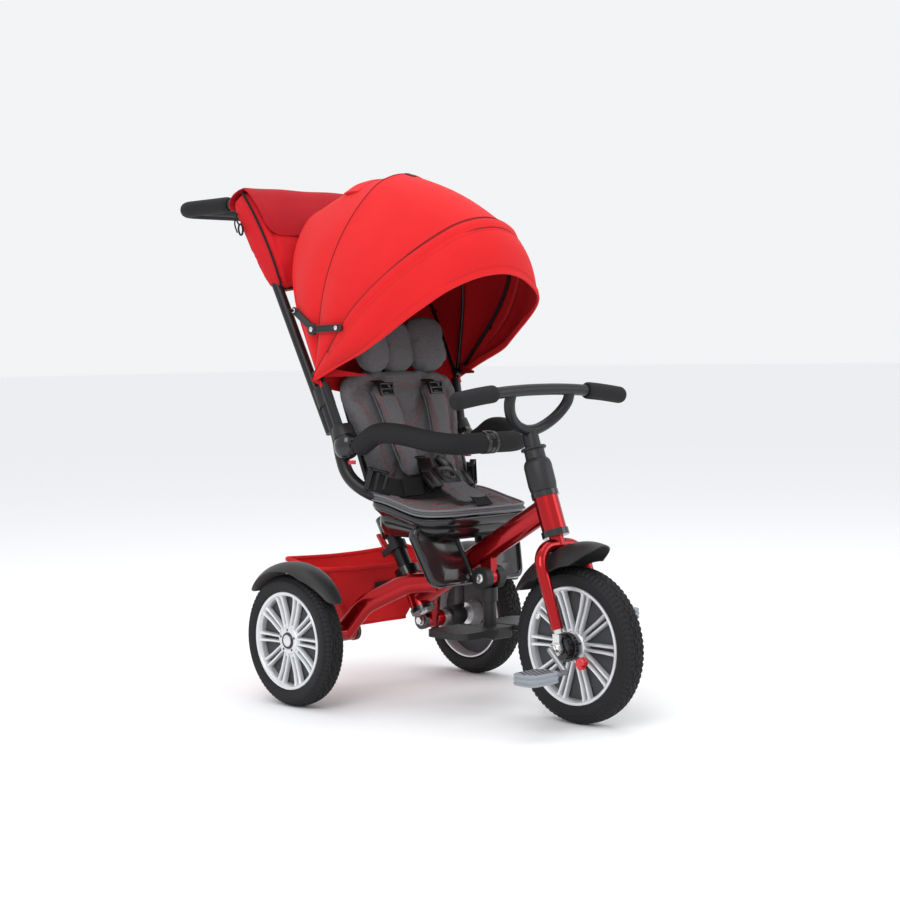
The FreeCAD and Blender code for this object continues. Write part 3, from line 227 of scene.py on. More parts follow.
looks = {
    "candyRed": {"color": (0.40, 0.002, 0.006), "metallic": 0.85, "roughness": 0.22, "coat": 0.45,
                 "smudge": 0.05, "specular": 0.3},
    "satinBlack": {"color": (0.008, 0.008, 0.009), "roughness": 0.34, "grain": (2500.0, 0.08),
                   "smudge": 0.08, "specular": 0.36},
    "foamBlack": {"color": (0.012, 0.012, 0.013), "roughness": 0.78, "grain": (2200.0, 0.5),
                  "specular": 0.28},
    "glossBlack": {"color": (0.008, 0.008, 0.009), "roughness": 0.16, "coat": 0.25, "smudge": 0.06,
                   "specular": 0.45},
    "charcoal": {"color": (0.016, 0.016, 0.017), "roughness": 0.42, "grain": (1900.0, 0.25),
                 "specular": 0.36},
    "matteBlack": {"color": (0.008, 0.008, 0.009), "roughness": 0.5, "grain": (1900.0, 0.2), "specular": 0.3},
    "rubber": {"color": (0.008, 0.008, 0.009), "roughness": 0.56, "grain": (900.0, 0.25), "smudge": 0.12,
               "specular": 0.3},
    "silver": {"color": (0.72, 0.73, 0.75), "metallic": 0.55, "roughness": 0.26, "smudge": 0.06},
    "rimShade": {"color": (0.035, 0.036, 0.04), "roughness": 0.55},
    "zinc": {"color": (0.70, 0.70, 0.69), "metallic": 1.0, "roughness": 0.2, "smudge": 0.12},
    "steel": {"color": (0.32, 0.32, 0.33), "metallic": 0.9, "roughness": 0.38},
    "pedalGrey": {"color": (0.27, 0.29, 0.32), "roughness": 0.5, "grain": (1400.0, 0.2)},
    "redPlastic": {"color": (0.62, 0.008, 0.014), "roughness": 0.22, "coat": 0.3},
    "redCloth": {"color": (0.70, 0.016, 0.018), "roughness": 0.86, "sheen": 0.05, "threads": 7000.0,
                 "depth": 0.25,
                 "second": (0.62, 0.012, 0.015), "specular": 0.2},
    "seamShadow": {"color": (0.20, 0.004, 0.006), "roughness": 0.9},
    # A darker copy of the red cloth, painted shade on the inner faces of the canopy cloth.
    "redClothPaintedShade": {"color": (0.42, 0.006, 0.009), "roughness": 0.9, "threads": 7000.0, "depth": 0.2,
                  "specular": 0.2},
    "bagCloth": {"color": (0.60, 0.008, 0.014), "roughness": 0.8, "sheen": 0.03, "threads": 5200.0,
                 "depth": 0.4,
                 "second": (0.52, 0.007, 0.012), "specular": 0.2},
    "bagFlap": {"color": (0.38, 0.004, 0.011), "roughness": 0.72, "threads": 5200.0, "depth": 0.4,
                "specular": 0.2},
    "greyCloth": {"color": (0.075, 0.071, 0.075), "second": (0.155, 0.150, 0.157), "melange": True,
                  "roughness": 0.85,
                  "threads": 5600.0, "depth": 0.5, "sheen": 0.1, "specular": 0.3},
    "greyPiping": {"color": (0.15, 0.155, 0.165), "roughness": 0.7, "threads": 5600.0, "depth": 0.2},
    "webbing": {"color": (0.007, 0.007, 0.008), "roughness": 0.7, "threads": 3600.0, "depth": 0.7,
                "specular": 0.28},
    "redThread": {"color": (0.52, 0.012, 0.02), "roughness": 0.6},
    "darkRedThread": {"color": (0.30, 0.004, 0.008), "roughness": 0.7},
    "buckleBlack": {"color": (0.007, 0.007, 0.008), "roughness": 0.28, "grain": (1600.0, 0.15),
                    "specular": 0.4},
}
mats = {name: makeMaterial(name, look) for name, look in looks.items()}


# Mesh helpers.
def loft(bm, rings, wrap=True, loop=False, caps=True, mat=0):
    # Rings of equal length joined by quads; wrap closes each ring, loop joins the last ring to the first.
    rows = [[bm.verts.new(point) for point in ring] for ring in rings]
    pairs = list(zip(rows[:-1], rows[1:]))
    if loop:
        pairs.append((rows[-1], rows[0]))
    for first, second in pairs:
        count = len(first)
        for index in range(count if wrap else count - 1):
            after = (index + 1) % count
            bm.faces.new((first[index], first[after], second[after], second[index])).material_index = mat
    if caps and wrap and not loop:
        bm.faces.new(list(reversed(rows[0]))).material_index = mat
        bm.faces.new(rows[-1]).material_index = mat
    return rows


def addPiece(name, bm, body, materials, replaced=(), sharp=35.0):
    bmesh.ops.remove_doubles(bm, verts=bm.verts, dist=0.00002)
    bmesh.ops.dissolve_degenerate(bm, edges=bm.edges, dist=0.00001)
    bmesh.ops.recalc_face_normals(bm, faces=bm.faces)
    for face in bm.faces:
        face.smooth = True
    mesh = bpy.data.meshes.new(name)
    bm.to_mesh(mesh)
    bm.free()
    mesh.set_sharp_from_angle(angle=math.radians(sharp))
    for word in materials:
        mesh.materials.append(mats[word])
    piece = bpy.data.objects.new(name, mesh)
    scene.collection.objects.link(piece)
    if body:
        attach(piece, body)
    if replaced:
        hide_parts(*replaced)
    return piece


def basis(axis, hint=Vector((0, 0, 1))):
    axis = axis.normalized()
    if abs(axis.dot(hint)) > 0.95:
        hint = Vector((0, 1, 0))
    side = hint.cross(axis).normalized()
    return side, axis.cross(side).normalized(), axis


def circle(radius, count, squash=1.0):
    turns = [2 * math.pi * i / count for i in range(count)]
    return [(radius * math.cos(turn), radius * squash * math.sin(turn)) for turn in turns]


def curve(points, steps):
    # Catmull-Rom through the points.
    ends = [points[0] * 2 - points[1]] + list(points) + [points[-1] * 2 - points[-2]]
    out = []
    for i in range(1, len(ends) - 2):
        a, b, c, d = ends[i - 1:i + 3]
        for k in range(steps):
            t = k / steps
            square = (2 * a - 5 * b + 4 * c - d) * t * t
            cube = (3 * b - a - 3 * c + d) * t ** 3
            out.append(0.5 * (2 * b + (c - a) * t + square + cube))
    out.append(points[-1].copy())
    return out


def bend(points, radii, steps=8):
    # Straight runs with rounded corners.
    out = [points[0].copy()]
    for before, corner, after, radius in zip(points, points[1:-1], points[2:], radii):
        back = (before - corner).normalized()
        ahead = (after - corner).normalized()
        half = back.angle(ahead) / 2.0
        reach = radius / math.tan(half)
        centre = corner + (back + ahead).normalized() * (radius / math.sin(half))
        first = corner + back * reach - centre
        last = corner + ahead * reach - centre
        turn = first.angle(last)
        for k in range(steps + 1):
            share = k / steps
            arc = first * math.sin((1 - share) * turn) + last * math.sin(share * turn)
            out.append(centre + arc / math.sin(turn))
    out.append(points[-1].copy())
    return out


def sweep(bm, path, section, loop=False, scale=None, facing=None):
    # section holds (across, out) offsets in metres; facing gives the outward way at each point.
    count = len(path)
    rings = []
    out = None
    for i, point in enumerate(path):
        before = path[i - 1] if i or loop else path[0]
        after = path[(i + 1) % count] if i < count - 1 or loop else path[-1]
        way = (after - before).normalized()
        if facing:
            out = facing[i]
        elif out is None:
            out = basis(way)[1]
        out = (out - way * out.dot(way)).normalized()
        side = way.cross(out)
        size = scale[i] if scale else 1.0
        rings.append([point + side * (a * size) + out * (b * size) for a, b in section])
    return loft(bm, rings, loop=loop)


def rod(bm, start, end, radius, sides=24, edge=0.0, mat=0):
    # A round bar with rounded ends.
    way = (end - start).normalized()
    side, up, way = basis(way)
    length = (end - start).length
    stops = [(0.0, radius)]
    if edge > 0:
        stops = [(0.0, radius - edge), (edge * 0.3, radius - edge * 0.3), (edge, radius)]
    stops = stops + [(length - along, size) for along, size in reversed(stops)]
    rings = [[start + way * along + side * a * size / radius + up * b * size / radius for a,
              b in circle(radius, sides)]
             for along, size in stops]
    loft(bm, rings, mat=mat)


def lathe(bm, profile, centre, axis, steps=64, mat=0, lobes=None):
    # profile: closed loop of (along, radius) in millimetres.
    side, up, axis = basis(axis)
    rings = []
    for i in range(steps):
        angle = 2 * math.pi * i / steps
        way = side * math.cos(angle) + up * math.sin(angle)
        gain = lobes(angle) if lobes else 1.0
        rings.append([centre + axis * (a / 1000.0) + way * (r * gain / 1000.0) for a, r in profile])
    loft(bm, rings, loop=True, mat=mat)


def boxShape(bm, centre, sideways, upward, size, edge=0.0, mat=0):
    # A block whose axes are given, with softened edges.
    sideways = sideways.normalized()
    upward = (upward - sideways * upward.dot(sideways)).normalized()
    outward = sideways.cross(upward)
    made = bmesh.ops.create_cube(bm, size=1.0)
    verts = made["verts"]
    for vert in verts:
        x, y, z = vert.co
        vert.co = centre + sideways * (x * size[0]) + upward * (y * size[1]) + outward * (z * size[2])
    faces = {face for vert in verts for face in vert.link_faces}
    for face in faces:
        face.material_index = mat
    if edge > 0:
        edges = {line for vert in verts for line in vert.link_edges}
        bmesh.ops.bevel(bm, geom=list(edges), offset=edge, segments=2, profile=0.5, affect="EDGES",
                        material=-1)


def hexNut(bm, centre, axis, across, height):
    side, up, axis = basis(axis)
    for size, low, high, count in ((across * 1.22, 0.0, height * 0.18, 28),
                                   (across, height * 0.18, height, 6)):
        rings = []
        for along, gain in ((low, 1.0), (high - height * 0.1, 1.0), (high, 0.9)):
            rings.append([centre + axis * along + side * a * gain + up * b * gain for a,
                          b in circle(size / 2.0, count)])
        loft(bm, rings)


def screwHead(bm, centre, axis, radius, height, mat=0):
    side, up, axis = basis(axis)
    rings = []
    stops = ((0.0, 1.0), (height * 0.5, 1.0), (height * 0.9, 0.8), (height, 0.5), (height, 0.42),
             (height * 0.45, 0.38))
    for along, gain in stops:
        rings.append([centre + axis * along + side * a * gain + up * b * gain for a, b in circle(radius, 20)])
    loft(bm, rings, mat=mat)


def roundRect(halfX, low, high, corner, perCorner=8):
    # A rounded outline in two coordinates, anticlockwise from the lower right.
    out = []
    for cx, cy, start in ((halfX - corner, low + corner, -90), (halfX - corner, high - corner, 0),
                          (-halfX + corner, high - corner, 90), (-halfX + corner, low + corner, 180)):
        for k in range(perCorner + 1):
            angle = math.radians(start + 90.0 * k / perCorner)
            out.append((cx + corner * math.cos(angle), cy + corner * math.sin(angle)))
    return out


def resample(points, count, loop=False):
    line = list(points) + ([points[0]] if loop else [])
    lengths = [0.0]
    for a, b in zip(line[:-1], line[1:]):
        lengths.append(lengths[-1] + (b - a).length)
    out = []
    index = 0
    stops = count if loop else count - 1
    for k in range(count):
        target = lengths[-1] * k / stops
        while index < len(line) - 2 and lengths[index + 1] < target:
            index += 1
        span = lengths[index + 1] - lengths[index]
        out.append(line[index].lerp(line[index + 1], (target - lengths[index]) / span if span > 0 else 0.0))
    return out


def stitchRow(bm, path, surface, length=0.0045, gap=0.003, radius=0.0006, lift=0.0003):
    # Short threads laid along a path and dropped on a surface (a BVH tree), or on the path itself.
    total = sum((b - a).length for a, b in zip(path[:-1], path[1:]))
    count = max(2, int(total / (length + gap)))
    stops = resample(path, count * 2)
    for start, end in zip(stops[0::2], stops[1::2]):
        places = []
        for point in (start, end):
            normal = Vector((0, 0, 1))
            if surface is not None:
                spot, normal, face, distance = surface.find_nearest(point)
                point = spot + normal * lift
            places.append((point, normal))
        (a, up), (b, second) = places
        if (b - a).length < 0.0008:
            continue
        way = (b - a).normalized()
        side = way.cross(up).normalized()
        up = side.cross(way)
        rings = [[a + side * (x * 0.5) + up * (z * 0.5) for x, z in circle(radius, 5)],
                 [a.lerp(b, 0.25) + side * x + up * z for x, z in circle(radius, 5)],
                 [a.lerp(b, 0.75) + side * x + up * z for x, z in circle(radius, 5)],
                 [b + side * (x * 0.5) + up * (z * 0.5) for x, z in circle(radius, 5)]]
        loft(bm, rings)


def surfaceOf(piece):
    graph = bpy.context.evaluated_depsgraph_get()
    return BVHTree.FromObject(piece, graph)


def applyAll(piece):
    graph = bpy.context.evaluated_depsgraph_get()
    graph.update()
    source = piece.evaluated_get(graph)
    mesh = bpy.data.meshes.new_from_object(source, preserve_all_data_layers=True, depsgraph=graph)
    piece.modifiers.clear()
    piece.data = mesh


def solidify(piece, thickness, offset=-1.0):
    modifier = piece.modifiers.new("thickness", "SOLIDIFY")
    modifier.thickness = thickness
    modifier.offset = offset
    modifier.use_even_offset = True
    applyAll(piece)


def inflate(piece, voxel, reach, pinned=None, pressure=4.0, shrink=0.0):
    # Air pressure swells a stitched cover; pinned(point) is true on its seams.
    remesh = piece.modifiers.new("grid", "REMESH")
    remesh.mode = "VOXEL"
    remesh.voxel_size = voxel
    applyAll(piece)
    rest = [vert.co.copy() for vert in piece.data.vertices]
    cloth = piece.modifiers.new("cloth", "CLOTH")
    cloth.settings.quality = 5
    cloth.settings.mass = 0.15
    cloth.settings.use_pressure = True
    cloth.settings.uniform_pressure_force = pressure
    cloth.settings.effector_weights.gravity = 0.0
    cloth.settings.shrink_min = shrink
    cloth.settings.tension_stiffness = 8.0
    cloth.settings.compression_stiffness = 8.0
    cloth.settings.bending_stiffness = 0.1
    if pinned:
        group = piece.vertex_groups.new(name="seams")
        group.add([i for i, co in enumerate(rest) if pinned(co)], 1.0, "REPLACE")
        cloth.settings.vertex_group_mass = group.name
    for number in range(1, 21):
        scene.frame_set(number)
    applyAll(piece)
    scene.frame_set(1)
    for vert, start in zip(piece.data.vertices, rest):
        move = vert.co - start
        if move.length > reach:
            vert.co = start + move.normalized() * reach
    for face in piece.data.polygons:
        face.use_smooth = True
    smooth = piece.modifiers.new("finer", "SUBSURF")
    smooth.levels = 1
    smooth.render_levels = 1
    applyAll(piece)


# Wheels.
wheels = [
    {"name": "front", "centre": pt(0, -508, 140), "radius": 140.0, "rim": 105.0, "out": -1,
     "body": "front_wheel",
     "tyreNode": "front_tyre", "rimNode": "front_rim", "bore": 14.0},
    {"name": "rearRight", "centre": pt(-237, 0, 125), "radius": 125.0, "rim": 91.5, "out": -1,
     "body": "rear_wheel_right",
     "tyreNode": "rear_tyre_right", "rimNode": "rear_rim_right", "bore": 5.05},
    {"name": "rearLeft", "centre": pt(237, 0, 125), "radius": 125.0, "rim": 91.5, "out": 1,
     "body": "rear_wheel_left",
     "tyreNode": "rear_tyre_left", "rimNode": "rear_rim_left", "bore": 5.05},
]
tread = {"steps": 240, "half": 21.0, "points": 37, "depth": 2.4, "period": 4}


def treadRadius(radius, across):
    reach = abs(across)
    if reach <= 14.9:
        return radius - 2.5 * (reach / 14.9) ** 2
    return radius - 2.5 - 6.5 * ((reach - 14.9) / 6.1) ** 1.5


def treadGroove(across, step):
    phase = step % tread["period"]
    turn = 2 * math.pi * step / tread["steps"]
    if abs(across) > 12.5:
        return tread["depth"] if (step + (1 if across > 0 else 0)) % 3 == 0 else 0.0
    for middle, shift in ((-9.0, 0.0), (-3.2, math.pi), (3.2, 0.0), (9.0, math.pi)):
        if abs(across - middle - 0.9 * math.sin(30 * turn + shift)) < 0.75:
            return tread["depth"]
    if phase == 0 and 4.2 < abs(across) < 8.4:
        return tread["depth"] * 0.8
    if phase == 2 and abs(across) < 2.2:
        return tread["depth"] * 0.6
    return 0.0


for wheel in wheels:
    radius, rim = wheel["radius"], wheel["rim"]
    side = [(18.0, rim + 0.4), (21.5, rim + 3.0), (23.2, rim + 7.0), (24.0, (rim + radius) / 2.0 - 3.0),
            (23.9, (rim + radius) / 2.0 + 2.0), (23.5, radius - 14.2), (24.1, radius - 13.6),
            (24.1, radius - 12.6),
            (23.2, radius - 12.0), (22.2, radius - 10.4)]
    crown = [tread["half"] * (1 - 2 * k / (tread["points"] - 1)) for k in range(tread["points"])]
    bm = bmesh.new()
    rings = []
    for step in range(tread["steps"]):
        turn = turnX(360.0 * step / tread["steps"])
        ring = [(a, r) for a, r in side]
        ring += [(a, treadRadius(radius, a) - treadGroove(a, step)) for a in crown]
        ring += [(-a, r) for a, r in reversed(side)]
        rings.append([wheel["centre"] + turn @ Vector((a / 1000.0, 0, r / 1000.0)) for a, r in ring])
    loft(bm, rings, loop=True)
    addPiece(wheel["name"] + "Tyre", bm, wheel["body"], ["rubber"], [wheel["tyreNode"]], sharp=28.0)

    bm = bmesh.new()
    axis = Vector((wheel["out"], 0, 0))
    lathe(bm, [(-22, rim - 1), (-22, rim - 4), (-18, rim - 6), (4, rim - 8), (12, rim - 8), (17, rim - 7),
               (19, rim - 5.5),
               (20.5, rim - 5.2), (21.5, rim - 4.2), (22, rim - 2.2), (21.6, rim + 0.2), (20, rim + 1.2),
               (18.6, rim + 0.4),
               (17.5, rim - 1)], wheel["centre"], axis, 96)
    lathe(bm, [(1, 18), (4, 18), (4.2, rim - 7.5), (1, rim - 7.5)], wheel["centre"], axis, 72, mat=1)
    bore = wheel["bore"]
    lathe(bm, [(-22, bore), (15, bore), (15.5, max(bore, 11.0)), (17.6, 16.5), (18.2, 18), (17.8, 23),
               (16.4, 25.6), (14, 27),
               (5, 27.5), (-16, 22), (-22, 22)], wheel["centre"], axis, 60)
    for index in range(10):
        turn = turnX(36.0 * index + 18.0)
        for shift in (-1, 1):
            rings = []
            for reach, offset, low, high, wide in ((23.0, 4.4, 5.0, 15.4, 4.6), (32.0, 5.2, 5.0, 14.8, 4.4),
                                                   (rim * 0.66, 5.8, 6.0, 14.6, 4.8),
                                                   (rim - 12.0, 6.6, 7.0, 16.4, 5.6),
                                                   (rim - 6.0, 7.2, 8.0, 18.6, 6.6)):
                half = wide / 2.0
                outline = [(-half - 0.7, low), (-half, high - 1.4), (-half + 1.0, high), (half - 1.0, high),
                           (half, high - 1.4),
                           (half + 0.7, low)]
                rings.append([wheel["centre"] + turn @ Vector((wheel["out"] * a / 1000.0,
                        (shift * offset + b) / 1000.0,
                        reach / 1000.0)) for b, a in outline])
            loft(bm, rings)
        rings = []
        for reach, wide in ((22.0, 4.4), (30.0, 5.0), (31.0, 4.2)):
            outline = [(-wide, 4.5), (-wide, 13.6), (wide, 13.6), (wide, 4.5)]
            rings.append([wheel["centre"] + turn @ Vector((wheel["out"] * a / 1000.0, b / 1000.0,
                    reach / 1000.0))
                          for b, a in outline])
        loft(bm, rings)
    for index in range(5):
        turn = turnX(72.0 * index)
        spot = wheel["centre"] + axis * 0.0172 + turn @ Vector((0, 0, 0.0203))
        rod(bm, spot, spot + axis * 0.0011, 0.0024, 14, mat=1)
    if wheel["name"] != "front":
        face = wheel["centre"]
        lathe(bm, [(8, 3), (17.5, 15.6), (19.0, 15.2), (20.4, 13.6), (20.0, 11.4), (8, 5)], face, axis, 40,
              mat=2)
        lathe(bm, [(8, 0.02), (19.4, 11.3), (20.6, 10.0), (21.6, 6.0), (22.0, 0.02)], face, axis, 40)
    addPiece(wheel["name"] + "Rim", bm, wheel["body"], ["silver", "rimShade", "glossBlack"],
             [wheel["rimNode"]])

frontAxle = pt(0, -508, 140)
bm = bmesh.new()
lathe(bm, [(-52.0, 5.06), (-52.0, 19.0), (-50.5, 22.0), (-47.0, 23.0), (-30.0, 23.0), (-26.5, 22.4),
           (-22.8, 20.5), (-22.8, 13.8),
           (22.0, 13.8), (22.8, 20.0), (46.0, 20.0), (46.0, 5.06)], frontAxle, Vector((1, 0, 0)), 60,
      lobes=lambda angle: 1.0 - 0.035 * (0.5 - 0.5 * math.cos(5 * angle)))
addPiece("frontHubBarrel", bm, "front_wheel", ["glossBlack"], ["front_hub"])

bm = bmesh.new()
leverTurn = turnX(35.0)
lathe(bm, [(-38.0, 23.1), (-38.0, 25.6), (-37.0, 26.4), (-29.0, 26.4), (-28.0, 25.6), (-28.0, 23.1)],
      frontAxle,
      Vector((1, 0, 0)), 40, mat=1)
boxShape(bm, frontAxle + leverTurn @ Vector((-0.033, -0.031, 0)), Vector((1, 0, 0)),
         leverTurn @ Vector((0, 1, 0)), (0.008, 0.014, 0.007), 0.001, mat=1)
heart = [(-36, -6), (-38, -9), (-46, -10.5), (-51, -9), (-53, -5), (-51.5, -1.2), (-49.0, 0), (-51.5, 1.2),
         (-53, 5), (-51, 9),
         (-46, 10.5), (-38, 9), (-36, 6)]
rings = []
for across, gain in ((-40.0, 0.86), (-38.5, 1.0), (-27.5, 1.0), (-26.0, 0.86)):
    rings.append([frontAxle + leverTurn @ Vector((across / 1000.0, (-40 + (a + 40) * (gain if a < -40
            else 1.0)) / 1000.0,
            b * gain / 1000.0)) for a, b in heart])
loft(bm, rings)
addPiece("clutchHeart", bm, "clutch", ["redPlastic", "glossBlack"], ["clutch_lever"])
print("wheels done")


# Fenders.
rearFender = {"radius": 148.0, "half": 36.0, "drop": 15.0, "start": -56.0, "end": 58.0, "middle": 234.0,
              "wall": 0.0026, "edge": 0.0008, "inner": 199.0}


def rearWidth(share):
    near = min(share, 1 - share)
    return min(1.0, 0.42 + 0.58 * min(1.0, near / 0.30) ** 0.8) * min(1.0, (near + 0.004) / 0.035) ** 0.4


for side in (-1, 1):
    bm = bmesh.new()
    rings = []
    for k in range(45):
        share = k / 44
        turn = turnX(rearFender["start"] + (rearFender["end"] - rearFender["start"]) * share)
        half = rearFender["half"] * rearWidth(share)
        ring = []
        for m in range(19):
            across = -1.0 + m / 9.0
            fall = rearFender["drop"] * (half / rearFender["half"]) ** 1.4 * abs(across) ** 2.4
            spot = Vector((half * across / 1000.0, 0, (rearFender["radius"] - fall) / 1000.0))
            ring.append(pt(side * rearFender["middle"], 0, 125) + turn @ spot)
        rings.append(ring)
    loft(bm, rings, wrap=False)
    piece = addPiece("rearFenderRight" if side < 0 else "rearFenderLeft", bm, None,
                     ["charcoal"])
    solidify(piece, rearFender["wall"])
    bm = bmesh.new()
    bm.from_mesh(piece.data)
    bmesh.ops.recalc_face_normals(bm, faces=bm.faces)
    rim = [edge for edge in bm.edges if len(edge.link_faces) == 2 and edge.calc_face_angle(0.0) > 1.2]
    bmesh.ops.bevel(bm, geom=rim, offset=rearFender["edge"], segments=2, profile=0.5, affect="EDGES",
                    material=-1)
    # The boss on the axle and the strap that carries the shell.
    inner = rearFender["inner"]
    lengthways, upward = Vector((0, 1, 0)), Vector((0, 0, 1))
    rod(bm, pt(side * 162.0, 0, 125), pt(side * (inner - 1.5), 0, 125), 0.021, 32, 0.002)
    boxShape(bm, pt(side * (inner - 2.5), 0, 198), lengthways, upward, (0.024, 0.112, 0.004), 0.0008)
    boxShape(bm, pt(side * (inner + 1.0), 0, 253), lengthways, upward, (0.024, 0.004, 0.010), 0.0008)
    for face in bm.faces:
        face.smooth = True
    bm.to_mesh(piece.data)
    bm.free()
    piece.data.set_sharp_from_angle(angle=math.radians(40))
    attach(piece, "frame")
    if side < 0:
        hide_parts("rear_fenders")

frontFender = {"radius": 171.0, "lift": 19.0, "half": 45.5, "drop": 38.0, "start": -60.0, "tip": 18.5,
               "sweep": 11.0}
bm = bmesh.new()
rings = []
for k in range(49):
    share = k / 48.0
    tail = min(1.0, 0.36 + 0.64 * min(1.0, share / 0.42) ** 0.8) * min(1.0, (share + 0.004) / 0.04) ** 0.4
    ring = []
    for m in range(25):
        across = -1.0 + m / 12.0
        finish = frontFender["tip"] - frontFender["sweep"] * abs(across) ** 3.5
        angle = frontFender["start"] + (finish - frontFender["start"]) * share
        rise = min(1.0, max(0.0, (angle + 25.0) / 45.0))
        reach = frontFender["radius"] + frontFender["lift"] * rise * rise * (3 - 2 * rise)
        reach -= frontFender["drop"] * tail ** 1.6 * abs(across) ** 2.2
        ring.append(pt(0, -508, 140) + turnX(angle) @ Vector((frontFender["half"] * tail * across / 1000.0,
                0, reach / 1000.0)))
    rings.append(ring)
loft(bm, rings, wrap=False)
piece = addPiece("frontFenderShell", bm, None, ["charcoal"])
solidify(piece, 0.0028, 0.0)
bm = bmesh.new()
bm.from_mesh(piece.data)
boxShape(bm, pt(0, -457, 306), Vector((1, 0, 0)), turnX(-19.5) @ Vector((0, 0, 1)), (0.022, 0.016, 0.012),
         0.0015)
bmesh.ops.recalc_face_normals(bm, faces=bm.faces)
for face in bm.faces:
    face.smooth = True
bm.to_mesh(piece.data)
bm.free()
piece.data.set_sharp_from_angle(angle=math.radians(40))
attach(piece, "steering")
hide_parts("front_fender")
print("fenders done")


# Handlebar, stem, grips.
bm = bmesh.new()
barLine = [pt(x, -424, z) for x, z in ((-216, 577), (-150, 585.5), (-98, 590), (-45, 592.5), (0, 593),
                                       (45, 592.5), (98, 590),
                                       (150, 585.5), (216, 577))]
sweep(bm, curve(barLine, 6), circle(0.0105, 28))
addPiece("handlebarTube", bm, "steering", ["satinBlack"], ["handlebar"])
bm = bmesh.new()
for side in (-1, 1):
    armLine = [pt(side * x, y, z) for x, y, z in ((76, -424, 590), (75, -417, 568), (61, -407, 546),
            (38, -399, 529), (15, -396, 520.5),
            (-2, -395, 519))]
    sweep(bm, curve(armLine, 7), circle(0.0100, 26))
addPiece("handlebarArms", bm, "steering", ["satinBlack"])
steerWay = turnX(-17.8) @ Vector((0, 0, 1))
bm = bmesh.new()
lathe(bm, [(-10.5, 13.2), (-10.5, 24.0), (-1.0, 25.4), (2.0, 25.8), (36.0, 25.6), (42.0, 24.6),
           (46.5, 22.2), (49.0, 19.6), (51.0, 18.7),
           (66.5, 18.4), (66.8, 22.4), (68.0, 23.4), (70.5, 23.4), (71.6, 22.4), (72.0, 15.4), (76.0, 14.9),
           (98.0, 14.6),
           (105.0, 12.6), (108.0, 8.0), (108.0, 0.05), (60.0, 0.05), (60.0, 13.2)], pt(0, -424, 420),
           steerWay, 56)
addPiece("stemCover", bm, "steering", ["charcoal"], ["stem"])

for side in (-1, 1):
    gripPath = [pt(side * x, -424, z) for x, z in ((221.0, 576.4), (205, 578.4), (185, 581.2), (165, 583.8),
            (145, 586.0), (119.0, 588.4))]
    gripPath = resample(curve(gripPath, 5), 30)
    bm = bmesh.new()
    sweep(bm, gripPath, circle(0.0158, 32), scale=[{0: 0.55, 1: 0.86, 2: 0.96, 29: 0.86, 28: 0.97}.get(k,
            1.0) for k in range(30)])
    addPiece("gripRight" if side < 0 else "gripLeft", bm, "steering", ["foamBlack"],
             ["grips"] if side < 0 else [])

pushPath = bend([pt(-150, 288, 966), pt(-150, 464, 966), pt(150, 464, 966), pt(150, 288, 966)],
                [0.045, 0.045], 12)
pushPath = resample(pushPath, 96)
bm = bmesh.new()
sweep(bm, pushPath, circle(0.0160, 28), scale=[{0: 0.80, 1: 0.97}.get(min(k, 95 - k), 1.0)
        for k in range(96)])
addPiece("pushGripFoam", bm, "push_bar", ["foamBlack"], ["push_grip"])

pedal = {"length": 74.0, "depth": 52.0, "height": 20.0, "x": 150.0, "throw": (-37.0, -35.0)}
for side in (-1, 1):
    middle = pt(side * pedal["x"], -508 - side * pedal["throw"][0], 140 - side * pedal["throw"][1])
    bm = bmesh.new()
    outline = roundRect(pedal["length"] / 2000.0, -pedal["depth"] / 2000.0, pedal["depth"] / 2000.0, 0.014, 7)
    rings = []
    half = pedal["height"] / 2000.0
    for z, gain in ((-half, 0.93), (-half + 0.0012, 0.99), (-0.0062, 1.0), (-0.0056, 0.965),
                    (-0.0030, 0.965), (-0.0024, 1.0),
                    (0.0024, 1.0), (0.0030, 0.965), (0.0056, 0.965), (0.0062, 1.0), (half - 0.0012, 0.99),
                    (half, 0.93)):
        rings.append([middle + Vector((x * gain, y * gain, z)) for x, y in outline])
    loft(bm, rings)
    for row in range(-2, 3):
        for column in range(-3, 4):
            if abs(column) == 3 and abs(row) == 2:
                continue
            x = column * 0.0094 + (0.0047 if row % 2 else 0.0)
            if abs(x) > 0.031:
                continue
            for face in (-1, 1):
                spot = middle + Vector((x, row * 0.0092, face * half))
                rod(bm, spot - Vector((0, 0, face * 0.001)), spot + Vector((0, 0, face * 0.00025)), 0.0033,
                    14, mat=1)
    word = "Right" if side < 0 else "Left"
    addPiece("pedal" + word, bm, "pedal_" + word.lower(), ["pedalGrey", "matteBlack"],
             ["pedal_" + word.lower()])
print("grips and pedals done")


